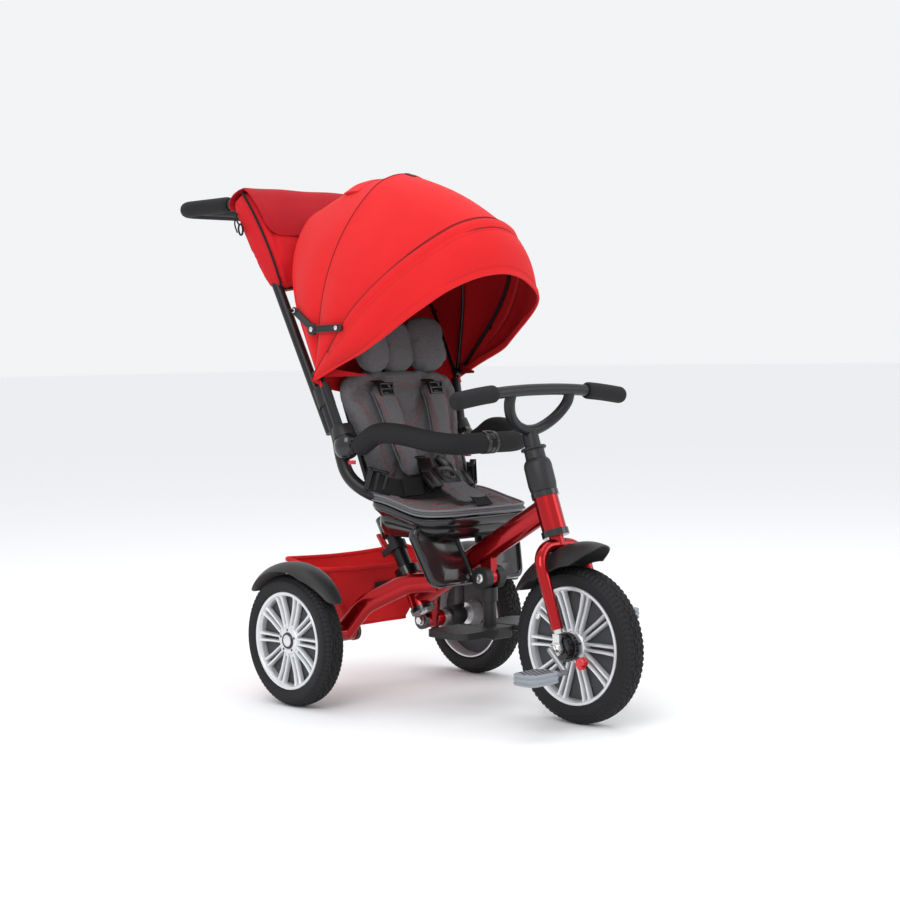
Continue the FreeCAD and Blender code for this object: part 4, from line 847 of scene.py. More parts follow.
# Bumper bar, its housings and the tubes under them.
bumperPoints = [(152, -96, 486), (153, -118, 498), (150, -150, 514), (140, -200, 513), (114, -256, 500),
                (74, -282, 494), (16, -285, 494)]
for side in (-1, 1):
    word = "Right" if side < 0 else "Left"
    route = resample(curve([pt(side * x, y, z) for x, y, z in bumperPoints], 8), 64)
    bm = bmesh.new()
    sweep(bm, route, circle(0.0195, 30), scale=[{0: 0.72, 1: 0.93}.get(k, 1.0) for k in range(64)])
    lathe(bm, [(-13, 5.1), (-13, 12.0), (-11.5, 13.5), (11.5, 13.5), (13, 12.0), (13, 5.1)],
          pt(side * 152, -76, 486),
          Vector((0, 0, 1)), 40, mat=1)
    boxShape(bm, pt(side * 152, -98, 487), Vector((1, 0, 0)), Vector((0, 0, 1)), (0.016, 0.018, 0.019),
             0.002, mat=1)
    if side > 0:
        sleeve = [(-15.5, 0.05), (-15.5, 19.0), (-14.0, 20.8), (-6.5, 21.0), (-6.0, 19.9), (-4.5, 19.9),
                  (-4.0, 21.0)]
        sleeve += [(-a, r) for a, r in reversed(sleeve)]
        lathe(bm, sleeve, pt(0, -285, 494), Vector((1, 0, 0)), 48, mat=1)
        for ridge in range(-2, 3):
            spot = pt(ridge * 2.4, -305.9, 494)
            boxShape(bm, spot, Vector((0, 0, 1)), Vector((1, 0, 0)), (0.016, 0.0012, 0.0022), 0.0003, mat=1)
        boxShape(bm, pt(0, -285, 514.5), Vector((1, 0, 0)), Vector((0, 1, 0)), (0.012, 0.020, 0.003),
                 0.0008, mat=1)
    addPiece("bumperFoam" + word, bm, "bumper_" + word.lower(), ["foamBlack", "buckleBlack"],
             ["bumper_" + word.lower()])

bm = bmesh.new()
for side in (-1, 1):
    ball = pt(side * 153, -62, 490)
    rings = []
    for k in range(23):
        tilt = math.pi * (k + 0.25) / 22.5 - math.pi / 2
        ring = []
        for m in range(36):
            angle = 2 * math.pi * m / 36
            x = 23.0 * math.cos(tilt) ** 0.8 * math.cos(angle)
            y = 25.0 * math.cos(tilt) ** 0.8 * math.sin(angle)
            ring.append(ball + Vector((x / 1000.0, y / 1000.0, 27.0 * math.sin(tilt) / 1000.0)))
        rings.append(ring)
    loft(bm, rings)
    lathe(bm, [(16, 12.5), (16, 20.0), (18, 21.5), (37, 19.5), (39, 18.0), (39, 12.5)], ball,
          Vector((0, math.sin(0.40), math.cos(0.40))), 40, mat=1)
addPiece("bumperHousings", bm, "seat", ["glossBlack", "charcoal"], ["bumper_housings"])

bm = bmesh.new()
for side in (-1, 1):
    points = [(151, 8, 596), (151, -4, 570), (151, -21, 535), (151, -36, 505), (151, -45, 470),
              (149, -56, 440), (144, -74, 419),
              (132, -98, 402), (112, -126, 388), (92, -150, 372)]
    tubeLine = resample(curve([pt(side * x, y, z) for x, y, z in points], 8), 70)
    sweep(bm, tubeLine, circle(0.0130, 28))
    lathe(bm, [(-30, 11.0), (-30, 15.5), (-28, 17.0), (8, 17.0), (10, 15.0), (10, 11.0)],
          pt(side * 151, 7, 590),
          Vector((0, math.sin(0.45), math.cos(0.45))), 40, mat=1)
addPiece("sideTubes", bm, "seat", ["satinBlack", "charcoal"], ["side_tubes"])
print("bumper done")


# Canopy.
hoops = {
    "rear": {"half": 182.0, "reach": 366.0, "lean": 25.0, "foot": -22.0},
    "mid": {"half": 189.0, "reach": 388.0, "lean": -8.5, "foot": -13.0},
    "front": {"half": 196.0, "reach": 396.0, "lean": -43.5, "foot": -8.0},
}
hoopLeg = 110.0
crownRadius = 126.0
canopySteps = 72


def hoopAt(half, reach, foot, share):
    # share runs 0 to 1 from the right foot over the crown to the left foot; gives (x, up) in millimetres.
    side = -1 if share < 0.5 else 1
    near = share if share < 0.5 else 1 - share
    rise = reach - hoopLeg
    haunch = (half ** 2 + rise ** 2 - 2 * rise * crownRadius) / (2 * (half - crownRadius))
    haunchX = half - haunch
    turn = math.atan2(reach - crownRadius - hoopLeg, -haunchX)
    if near < 0.16:
        return side * half, foot + (hoopLeg - foot) * near / 0.16
    if near < 0.34:
        angle = turn * (near - 0.16) / 0.18
        return side * (haunchX + haunch * math.cos(angle)), hoopLeg + haunch * math.sin(angle)
    angle = turn + (math.pi / 2 - turn) * (near - 0.34) / 0.16
    return side * crownRadius * math.cos(angle), reach - crownRadius + crownRadius * math.sin(angle)


def hoopLine(word):
    hoop = hoops[word]
    tilt = math.radians(hoop["lean"])
    line = []
    for k in range(canopySteps + 1):
        x, up = hoopAt(hoop["half"], hoop["reach"], hoop["foot"], k / canopySteps)
        line.append(pt(x, -18 + up * math.sin(tilt), 622 + up * math.cos(tilt)))
    return line


pivot = pt(0, -18, 622)


def outwardAt(point):
    way = Vector((point.x * 0.9, point.y - pivot.y, point.z - (pivot.z + 0.05)))
    return way.normalized()


def clothBetween(first, second, rows, swell, folds=()):
    # Rings from one hoop line to the next; swell lifts the middle, folds add soft creases.
    rings = []
    for row in range(rows + 1):
        share = row / rows
        ring = []
        for k, (a, b) in enumerate(zip(first, second)):
            along = k / (len(first) - 1)
            point = a.lerp(b, share)
            lift = swell * math.sin(math.pi * share) * min(1.0, min(along, 1 - along) / 0.12)
            for place, span, depth, slant in folds:
                distance = (along - place - slant * (share - 0.5)) / span
                lift += depth * math.exp(-distance * distance) * math.sin(math.pi * share) ** 0.6
            ring.append(point + outwardAt(point) * lift)
        rings.append(ring)
    return rings


def clothPiece(name, rings, body, replaced, thickness=0.0016, blended=None):
    bm = bmesh.new()
    loft(bm, rings, wrap=False)
    piece = addPiece(name, bm, None, ["redCloth", "redClothPaintedShade"])
    centre = pt(0, -60, 700)
    bm = bmesh.new()
    bm.from_mesh(piece.data)
    bm.faces.ensure_lookup_table()
    outwardSum = sum((face.calc_center_median() - centre).dot(face.normal) * face.calc_area()
                     for face in bm.faces)
    if outwardSum < 0:
        bmesh.ops.reverse_faces(bm, faces=bm.faces)
    bm.to_mesh(piece.data)
    bm.free()
    modifier = piece.modifiers.new("thickness", "SOLIDIFY")
    modifier.thickness = thickness
    modifier.offset = -1.0
    modifier.use_even_offset = True
    # The inner faces take the darker copy of the red cloth: painted shade inside the canopy.
    modifier.material_offset = 1
    modifier.material_offset_rim = 0
    applyAll(piece)
    for face in piece.data.polygons:
        face.use_smooth = True
    piece.data.set_sharp_from_angle(angle=math.radians(40))
    if blended:
        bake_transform(piece)
    else:
        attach(piece, body)
    if replaced:
        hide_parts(replaced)
    return piece


def declareSheet(piece, rings):
    # The cut is the longest row by the longest column, and its area is what the rows enclose.
    width = max(sum((b - a).length for a, b in zip(ring[:-1], ring[1:])) for ring in rings)
    columns = range(len(rings[0]))
    length = max(sum((above[k] - below[k]).length for above, below in zip(rings[:-1], rings[1:]))
                 for k in columns)
    area = 0.0
    for above, below in zip(rings[:-1], rings[1:]):
        for a, b, c, d in zip(above[:-1], above[1:], below[1:], below[:-1]):
            area += ((b - a).cross(d - a).length + (b - c).cross(d - c).length) / 2
    width, length = round(width, 3), round(length, 3)
    area = min(area, width * length)
    print("sheet", piece.name, width, length, round(area, 4))


rearLine, midLine, frontLine = hoopLine("rear"), hoopLine("mid"), hoopLine("front")
rearRings = clothBetween(rearLine, midLine, 18, 0.010, [(0.30, 0.05, -0.0035, 0.10),
        (0.64, 0.06, -0.003, -0.08), (0.44, 0.05, -0.002, 0.12)])
rearCloth = clothPiece("canopyRearCloth", rearRings, None, "canopy_rear_panel",
                       blended=("seat", "canopy_mid", 25.0, -8.5))
declareSheet(rearCloth, rearRings)
frontRings = clothBetween(midLine, frontLine, 18, 0.011, [(0.25, 0.05, -0.003, -0.10),
        (0.70, 0.06, -0.003, 0.10), (0.55, 0.05, -0.002, 0.08)])
frontCloth = clothPiece("canopyFrontCloth", frontRings, None, "canopy_front_panel",
                        blended=("canopy_mid", "canopy_front", -8.5, -43.5))
declareSheet(frontCloth, frontRings)

visorKnots = [(0.00, 0.0, (191.0, -15.0, 613.0)), (0.08, 0.0, (186.0, -80.0, 641.0)),
              (0.165, 0.0, (181.0, -155.0, 669.0)),
              (0.185, 0.0, (179.0, -165.0, 677.0)), (0.25, 0.0, (170.0, -192.0, 693.0)),
              (0.31, 0.0, (158.0, -246.0, 728.0)),
              (0.35, 0.0, (141.0, -290.0, 755.0)), (0.38, 0.0, (125.0, -303.0, 771.0)),
              (0.44, 0.0, (62.0, -325.0, 799.0)),
              (0.50, 0.0, (0.0, -336.0, 808.0))]


def visorEdgeAt(share):
    near = share if share <= 0.5 else 1 - share
    side = -1 if share <= 0.5 else 1
    for (low, _, a), (high, _, b) in zip(visorKnots[:-1], visorKnots[1:]):
        if near <= high + 1e-9:
            t = (near - low) / (high - low)
            x, y, z = (p + (q - p) * t for p, q in zip(a, b))
            return pt(side * x, y, z)
    return pt(0, -336, 808)


visorLine = [visorEdgeAt(k / canopySteps) for k in range(canopySteps + 1)]
for turn in range(3):
    visorLine = [visorLine[0]] + [(visorLine[k - 1] + visorLine[k] * 2 + visorLine[k + 1]) / 4
                                  for k in range(1, canopySteps)] + [visorLine[-1]]
visorRings = clothBetween(frontLine, visorLine, 20, 0.016, [(0.34, 0.04, -0.003, 0.05),
        (0.66, 0.04, -0.003, -0.05)])
visorCloth = clothPiece("canopyVisorCloth", visorRings, "canopy_front", "canopy_visor")
declareSheet(visorCloth, visorRings)
visorSurface = surfaceOf(visorCloth)

curtainRings = []
for row in range(37):
    share = 0.5 * (row / 36.0)
    hoop = hoops["rear"]
    x, up = hoopAt(hoop["half"], hoop["reach"], -24.0, share)
    ring = []
    for k in range(41):
        along = -1.0 + k / 20.0
        droop = 0.020 * (1 - min(1.0, row / 7.0)) * (1 - along * along)
        back = 0.016 * (1 - along ** 4) * min(1.0, row / 10.0 + 0.55) + 0.003 * math.sin(along * 11 + row
                * 0.12) * (1 - abs(along))
        way = pt(0, -18 + up * math.sin(math.radians(25)), 622 + up * math.cos(math.radians(25)))
        ring.append(Vector((abs(x) / 1000.0 * along, way.y + back + 0.004, way.z - droop)))
    curtainRings.append(ring)
curtainCloth = clothPiece("canopyCurtainCloth", curtainRings, "seat", "canopy_curtain", thickness=0.0014)
declareSheet(curtainCloth, curtainRings)


def seamPiping(name, line, body, look, radius=0.0011, lift=0.0002):
    bm = bmesh.new()
    path = [point + outwardAt(point) * lift for point in line]
    sweep(bm, path, circle(radius, 8))
    return addPiece(name, bm, body, [look])


seamPiping("rearSeamPiping", rearLine, "seat", "redCloth", 0.0020)
seamPiping("midSeamPiping", midLine, "canopy_mid", "seamShadow")
seamPiping("frontSeamPiping", frontLine, "canopy_front", "seamShadow")

# The folded band ahead of the front seam and the stitched hem of the visor.
bm = bmesh.new()
first, last = int(canopySteps * 0.10), int(canopySteps * 0.90)
bandPath = resample(visorRings[3][first:last + 1], 120)
bandFacing = [outwardAt(point) for point in bandPath]
bandSize = [min(1.0, 0.15 + min(k, 119 - k) / 16.0) for k in range(120)]
flat = [(-0.0095, -0.001), (-0.0090, 0.0022), (-0.0045, 0.0042), (0.004, 0.0036), (0.0105, 0.0020),
        (0.0112, 0.0), (0.0, -0.0012)]
sweep(bm, bandPath, flat, facing=bandFacing, scale=bandSize)
addPiece("visorFoldBand", bm, "canopy_front", ["redCloth"])
bm = bmesh.new()
for offset in (-0.0103, 0.0118):
    line = [point + facing.cross(after - point).normalized() * (-offset * size) + facing * 0.0006 for point,
            after, facing, size in
            zip(bandPath[:-1], bandPath[1:], bandFacing, bandSize)]
    sweep(bm, line, circle(0.0013, 6))
addPiece("visorFoldShadow", bm, "canopy_front", ["seamShadow"])
bm = bmesh.new()
hemPath = resample(visorLine, 150)
hemFacing = [outwardAt(point) for point in hemPath]
hem = [(-0.0105, 0.0008), (-0.010, 0.0018), (-0.001, 0.0022), (0.0022, 0.0012), (0.0024, -0.0016),
       (-0.001, -0.0030), (-0.010, -0.0028),
       (-0.0105, -0.0018)]
rows = sweep(bm, hemPath, hem, facing=hemFacing)
addPiece("visorHem", bm, "canopy_front", ["redCloth"])

bm = bmesh.new()
for ring in (visorRings[18], visorRings[6]):
    stitchRow(bm, ring[6:-6], visorSurface, 0.0036, 0.0026, 0.0005)
addPiece("visorStitches", bm, "canopy_front", ["darkRedThread"])

# The rear vent flap and the small black tab on the crown.
bm = bmesh.new()
flapLine = [rearRings[row][k] for row, k in ((12, 26), (12, 31), (12, 36), (12, 41), (12, 46))]
flapPath = curve(flapLine, 6)
sweep(bm, flapPath, [(-0.022, 0.0010), (-0.020, 0.0045), (0.0, 0.0058), (0.020, 0.0042), (0.022, 0.0010)],
      facing=[outwardAt(point) for point in flapPath])
ventFlap = addPiece("ventFlap", bm, None, ["redCloth"])
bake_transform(ventFlap)
for vert in ventFlap.data.vertices:
    away = vert.co - pivot
    angle = math.degrees(math.atan2(away.y, away.z))
bm = bmesh.new()
top = midLine[canopySteps // 2]
spot, normal, face, distance = surfaceOf(frontCloth).find_nearest(top + Vector((0.001, -0.012, 0.002)))
boxShape(bm, spot + normal * 0.0008, Vector((1, 0, 0)), normal.cross(Vector((1, 0, 0))),
         (0.011, 0.022, 0.0024), 0.0006)
addPiece("crownTab", bm, "canopy_mid", ["matteBlack"])

# Folding braces: rounded links with a raised rim, screws and a centre disc.
elbow = pt(0, -33, 709)
rearPin = pt(0, -18 + 137 * math.sin(math.radians(25)), 622 + 137 * math.cos(math.radians(25)))
frontPin = pt(0, -18 - 122 * math.sin(math.radians(43.5)), 622 + 122 * math.cos(math.radians(43.5)))


def braceLink(bm, start, end, half, side):
    # A flat link between two pins, round at both ends, with a shallow recess along its outer face.
    way = (end - start).normalized()
    out = Vector((side, 0, 0))
    out = (out - way * out.dot(way)).normalized()
    wide = way.cross(out)
    rings = []
    for inset, lift in ((1.4, -2.6), (0.0, -2.0), (0.0, 2.0), (0.8, 2.8), (2.2, 2.8), (3.0, 1.6), (4.0, 1.5)):
        size = half - inset / 1000.0
        ring = []
        for k in range(32):
            angle = 2 * math.pi * k / 32
            tip = end if math.cos(angle) > 0 else start
            ring.append(tip + way * (size * math.cos(angle)) + wide * (size * math.sin(angle)) + out
                        * (lift / 1000.0))
        rings.append(ring)
    loft(bm, rings)


for side, word in ((-1, "right"), (1, "left")):
    out = Vector((side, 0, 0))
    bm = bmesh.new()
    rearEnd = Vector((side * 0.1905, rearPin.y, rearPin.z))
    braceLink(bm, rearEnd, Vector((side * 0.2035, elbow.y, elbow.z)), 0.0068, side)
    screwHead(bm, rearEnd + out * 0.0016, out, 0.0046, 0.0020, mat=1)
    addPiece("braceRear_" + word, bm, "brace_rear_" + word, ["charcoal", "zinc"],
             ["brace_rear_" + word])
    bm = bmesh.new()
    frontEnd = Vector((side * 0.2065, frontPin.y, frontPin.z))
    tip = frontEnd + (frontPin - elbow).normalized() * 0.010
    braceLink(bm, Vector((side * 0.2080, elbow.y, elbow.z)), tip, 0.0066, side)
    lathe(bm, [(204.0, 0.05), (204.0, 11.2), (208.4, 11.4), (210.6, 10.4), (211.2, 8.0), (210.4, 5.8),
               (210.4, 0.05)],
          Vector((0, elbow.y, elbow.z)), out, 40)
    screwHead(bm, Vector((side * 0.2102, elbow.y, elbow.z)), out, 0.0050, 0.0020, mat=1)
    screwHead(bm, frontEnd + out * 0.0016, out, 0.0046, 0.0020, mat=1)
    addPiece("braceFront_" + word, bm, "brace_front_" + word, ["charcoal", "zinc"],
             ["brace_front_" + word])
print("canopy done")


# Seat.
def rise(y, low, high, amount):
    # A smooth climb towards the back of the seat; y in metres from the rear axle.
    share = min(1.0, max(0.0, (y - low) / (high - low)))
    return amount * share * share * (3 - 2 * share)


def tubRing(half, front, rear, cornerFront, cornerRear, z, climb):
    # An outline with its own corner radii at the front and the back, millimetres.
    outline = []
    for cx, cy, start, corner in ((half - cornerRear, rear - cornerRear, 0, cornerRear),
                                  (-half + cornerRear, rear - cornerRear, 90, cornerRear),
                                  (-half + cornerFront, front + cornerFront, 180, cornerFront),
                                  (half - cornerFront, front + cornerFront, 270, cornerFront)):
        for k in range(13):
            angle = math.radians(start + 90.0 * k / 12)
            outline.append(Vector((cx + corner * math.cos(angle), cy + corner * math.sin(angle), 0)))
    ring = resample(outline, 120, loop=True)
    return [pt(p.x, p.y, z + rise(p.y, -262.0, -110.0, climb)) for p in ring]


seatTub = [
    (118.0, -262.0, -112.0, 50.0, 24.0, 357.0, 22.0), (133.0, -277.0, -101.0, 58.0, 28.0, 359.0, 25.0),
    (137.0, -281.0, -98.0, 60.0, 30.0, 357.5, 26.0), (138.0, -282.0, -97.0, 60.0, 30.0, 353.0, 26.0),
    (136.0, -280.0, -99.0, 60.0, 30.0, 346.0, 25.0), (129.0, -275.0, -103.0, 58.0, 30.0, 341.5, 22.0),
    (124.0, -271.0, -104.0, 56.0, 30.0, 338.5, 20.0), (124.5, -271.0, -103.0, 56.0, 30.0, 335.5, 18.0),
    (123.0, -270.0, -99.0, 56.0, 32.0, 331.0, 15.0), (116.0, -265.0, -92.0, 55.0, 34.0, 325.0, 10.0),
    (102.0, -256.0, -84.0, 50.0, 34.0, 318.5, 5.0), (84.0, -242.0, -78.0, 44.0, 34.0, 314.0, 2.0),
    (60.0, -224.0, -76.0, 36.0, 30.0, 312.0, 0.0)]
bm = bmesh.new()
loft(bm, [tubRing(*row) for row in seatTub])
foot = pt(0, -57, 239)
postWay = Vector((0, math.sin(math.radians(30.8)), math.cos(math.radians(30.8))))
rod(bm, foot + postWay * 0.0770, foot + postWay * 0.1180, 0.0215, 36, 0.002)
rings = []
for y, half, low, high in ((-96, 46, 314, 344), (-70, 42, 313, 343), (-44, 33, 312, 342),
                           (-20, 26, 313, 340), (-4, 18, 317, 337)):
    rings.append([pt(x, y, z) for x, z in roundRect(half, low, high, 9.0, 5)])
loft(bm, rings)
addPiece("seatBucket", bm, "seat", ["glossBlack"], ["seat_shell"], sharp=50)

seatCushionRows = [
    (122.0, -270.0, -106.0, 56.0, 26.0, 361.0, 24.0), (133.0, -279.0, -98.0, 60.0, 26.0, 362.5, 24.0),
    (136.0, -282.0, -96.0, 62.0, 27.0, 365.0, 24.5), (136.0, -282.0, -96.0, 62.0, 27.0, 369.0, 25.0),
    (133.0, -279.0, -98.0, 61.0, 26.0, 372.5, 25.0),
    (125.0, -272.0, -104.0, 58.0, 24.0, 373.8, 25.0), (112.0, -262.0, -112.0, 54.0, 22.0, 373.6, 23.0),
    (96.0, -248.0, -120.0, 48.0, 20.0, 373.0, 20.0),
    (78.0, -234.0, -130.0, 40.0, 18.0, 372.6, 18.0), (58.0, -220.0, -142.0, 30.0, 16.0, 372.4, 16.0)]
channels = (-240.0, -204.0, -168.0)
bm = bmesh.new()
loft(bm, [tubRing(*row) for row in seatCushionRows])
seatCushion = addPiece("seatCushion", bm, None, ["greyCloth"])


def cushionSpot(co):
    return co.x * 1000.0, co.y * 1000.0 - rearAxleShift, co.z * 1000.0


def nearChannel(co):
    x, y, z = cushionSpot(co)
    z -= rise(y, -262.0, -110.0, 24.0)
    onLine = min(abs(y - line + 10.0 * (x / 120.0) ** 2) for line in channels) < 2.3
    return z < 369.0 or abs(x) > 122.0 or (abs(x) < 112.0 and onLine)


inflate(seatCushion, 0.0042, 0.0055, nearChannel, pressure=5.0, shrink=-0.04)
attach(seatCushion, "seat")
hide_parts("seat_pad")
cushionSurface = surfaceOf(seatCushion)

bm = bmesh.new()
sweep(bm, tubRing(134.5, -280.5, -97.0, 61.0, 26.0, 373.0, 25.0), circle(0.0023, 8), loop=True)
sweep(bm, tubRing(136.5, -282.5, -95.6, 62.0, 27.0, 363.6, 24.5), circle(0.0018, 8), loop=True)
addPiece("seatPiping", bm, "seat", ["greyPiping"])
bm = bmesh.new()
for line in channels:
    for shift in (-3.2, 3.2):
        path = [pt(x * 10.0, line + shift - 10.0 * (x / 12.0) ** 2, 384 + rise(line, -262.0, -110.0, 24.0))
                for x in range(-11, 12)]
        stitchRow(bm, path, cushionSurface, 0.0042, 0.0026, 0.00055)
rim = tubRing(124.0, -271.0, -105.0, 57.0, 24.0, 382.0, 25.0)
stitchRow(bm, rim + rim[:1], cushionSurface, 0.0042, 0.0026, 0.00055)
addPiece("seatStitches", bm, "seat", ["redThread"])

# Calf panels: dished plates with raised rims, closer together at the bottom.
plateLean = turnX(-19.0)
bm = bmesh.new()
for side in (-1, 1):
    outline = roundRect(0.055, -0.112, 0.006, 0.020, 8)

    def panelRing(inset, depth, side=side):
        ring = []
        for x, z in outline:
            flat = x * (1 - inset / 0.055)
            high = (z + 0.053) * (1 - inset / 0.058) - 0.053
            shift = side * (0.086 + 0.024 * high / 0.108)
            ring.append(pt(0, -228, 338) + Vector((shift, 0, 0)) + plateLean @ Vector((flat,
                    depth + 0.012 * (flat / 0.055) ** 2, high)))
        return ring
    loft(bm, [panelRing(inset / 1000.0, depth / 1000.0) for inset, depth in (
        (10, 5), (1, 6), (0, 3), (0, -6), (1.2, -9.0), (4.6, -9.6), (6.8, -8.0), (8.6, -3.4), (12.0, -2.2),
        (30.0, -2.8))])
    boxShape(bm, pt(side * 80, -219, 338), Vector((1, 0, 0)), Vector((0, 0, 1)), (0.070, 0.016, 0.030), 0.003)
addPiece("calfPanels", bm, "seat", ["glossBlack"], ["calf_panels"], sharp=45)

# Backrest.
backFoot = pt(0, -118, 401)
backUp = Vector((0, math.sin(math.radians(18)), math.cos(math.radians(18))))
backIn = Vector((0, math.cos(math.radians(18)), -math.sin(math.radians(18))))


def backAt(x, up, depth=0.0):
    # x across, up the backrest, depth behind the front plane, all in millimetres.
    return backFoot + Vector((x / 1000.0, 0, 0)) + backUp * (up / 1000.0) + backIn * (depth / 1000.0)


backEdge = [(0, 0), (70, 0), (98, 4), (112, 22), (117, 55), (121, 90), (127, 125), (135, 160), (141, 188),
            (140, 208), (131, 226),
            (112, 237), (80, 240), (40, 241)]
backEdge = backEdge + [(0, 241)] + [(-x, up) for x, up in reversed(backEdge[1:])]
smoothEdge = [Vector((x, up, 0)) for x, up in backEdge]
smoothEdge = resample(curve(smoothEdge + [smoothEdge[0]], 6)[:-1], 132, loop=True)
backMiddle = Vector((0, 118, 0))


def backRing(inset, depth):
    ring = []
    for point in smoothEdge:
        away = point - backMiddle
        gain = (away.length - inset) / away.length
        spot = backMiddle + away * gain
        ring.append(backAt(spot.x, spot.y, depth))
    return ring


bm = bmesh.new()
rings = [backRing(inset, depth) for depth, inset in (
    (31.0, 26.0), (30.0, 10.0), (27.0, 3.0), (20.0, 0.0), (12.0, 0.0), (5.0, 2.2), (0.8, 7.0), (-1.0, 14.0),
    (0.6, 21.0), (5.0, 26.0),
    (9.0, 28.5), (8.0, 31.0), (5.6, 36.0), (4.6, 46.0), (4.2, 60.0), (4.0, 80.0), (4.0, 104.0))]
loft(bm, rings)
backCushion = addPiece("backCushion", bm, None, ["greyCloth"])
quilt = [((-64, 40), (64, 205)), ((64, 40), (-64, 205))]


def onBackSeam(co):
    spot = co - backFoot
    x, up, depth = spot.x * 1000, spot.dot(backUp) * 1000, spot.dot(backIn) * 1000
    if depth > 27:
        return True
    if abs(x) < 84 and 28 < up < 214 and depth < 9:
        for (x0, u0), (x1, u1) in quilt:
            length = math.hypot(x1 - x0, u1 - u0)
            if abs((x - x0) * (u1 - u0) - (up - u0) * (x1 - x0)) / length < 2.4:
                return True
    return depth > 7.6 and depth < 10 and abs(x) < 128 and 14 < up < 228


inflate(backCushion, 0.0046, 0.0065, onBackSeam, pressure=6.0, shrink=-0.05)
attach(backCushion, "seat")
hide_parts("backrest_pad")
backSurface = surfaceOf(backCushion)

bm = bmesh.new()
for (x0, u0), (x1, u1) in quilt:
    for shift in (-2.6, 2.6):
        path = [backAt(x0 + (x1 - x0) * k / 20.0 + shift, u0 + (u1 - u0) * k / 20.0, -6) for k in range(21)]
        stitchRow(bm, path, backSurface, 0.0042, 0.0026, 0.00055)
for inset in (24.0, 33.5):
    stitchRow(bm, [p - backIn * 0.008 for p in backRing(inset, 0.0)], backSurface, 0.0042, 0.0026, 0.00055)
addPiece("backStitches", bm, "seat", ["redThread"])

# Headrest: two wings round a middle cushion.
for name, x0, x1, swing in (("headWingRight", -112.0, -30.0, -1), ("headWingLeft", 30.0, 112.0, 1),
                            ("headMiddle", -46.0, 46.0, 0)):
    bm = bmesh.new()
    rings = []
    middleX = (x0 + x1) / 2.0
    halfX = (x1 - x0) / 2.0
    for k in range(15):
        t = -1.0 + 2.0 * k / 14.0
        size = max(0.08, (1 - abs(t) ** 3.4)) ** 0.42
        ring = []
        for m in range(28):
            angle = 2 * math.pi * m / 28
            c, s = math.cos(angle), math.sin(angle)
            a = math.copysign(abs(c) ** 0.75, c) * halfX * size
            b = math.copysign(abs(s) ** 0.80, s) * (21.0 if swing else 18.0) * size
            x = middleX + a
            up = 291.0 + t * (54.0 if swing else 52.0)
            up -= (0.0 if not swing else 4.0 * abs(t) * (t > 0))
            ahead = -6.0 if swing else 2.0
            if swing:
                ahead -= 11.0 * max(0.0, (abs(x) - 45.0) / 50.0)
            ring.append(backAt(x, up, ahead + b))
        rings.append(ring)
    loft(bm, rings)
    lobe = addPiece(name, bm, None, ["greyCloth"])
    inflate(lobe, 0.0042, 0.006, None, pressure=6.0, shrink=-0.08)
    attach(lobe, "seat")
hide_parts("headrest_pad")

# Harness.
def strap(bm, points, normals, width, thickness=0.002):
    path = curve(points, 6)
    facing = curve(normals, 6)
    half = width / 2.0
    edge = thickness / 2.0
    section = [(-half, -edge * 0.6), (-half + edge * 0.4, -edge), (half - edge * 0.4, -edge),
               (half, -edge * 0.6), (half, edge * 0.6),
               (half - edge * 0.4, edge), (-half + edge * 0.4, edge), (-half, edge * 0.6)]
    sweep(bm, path, section, facing=facing)


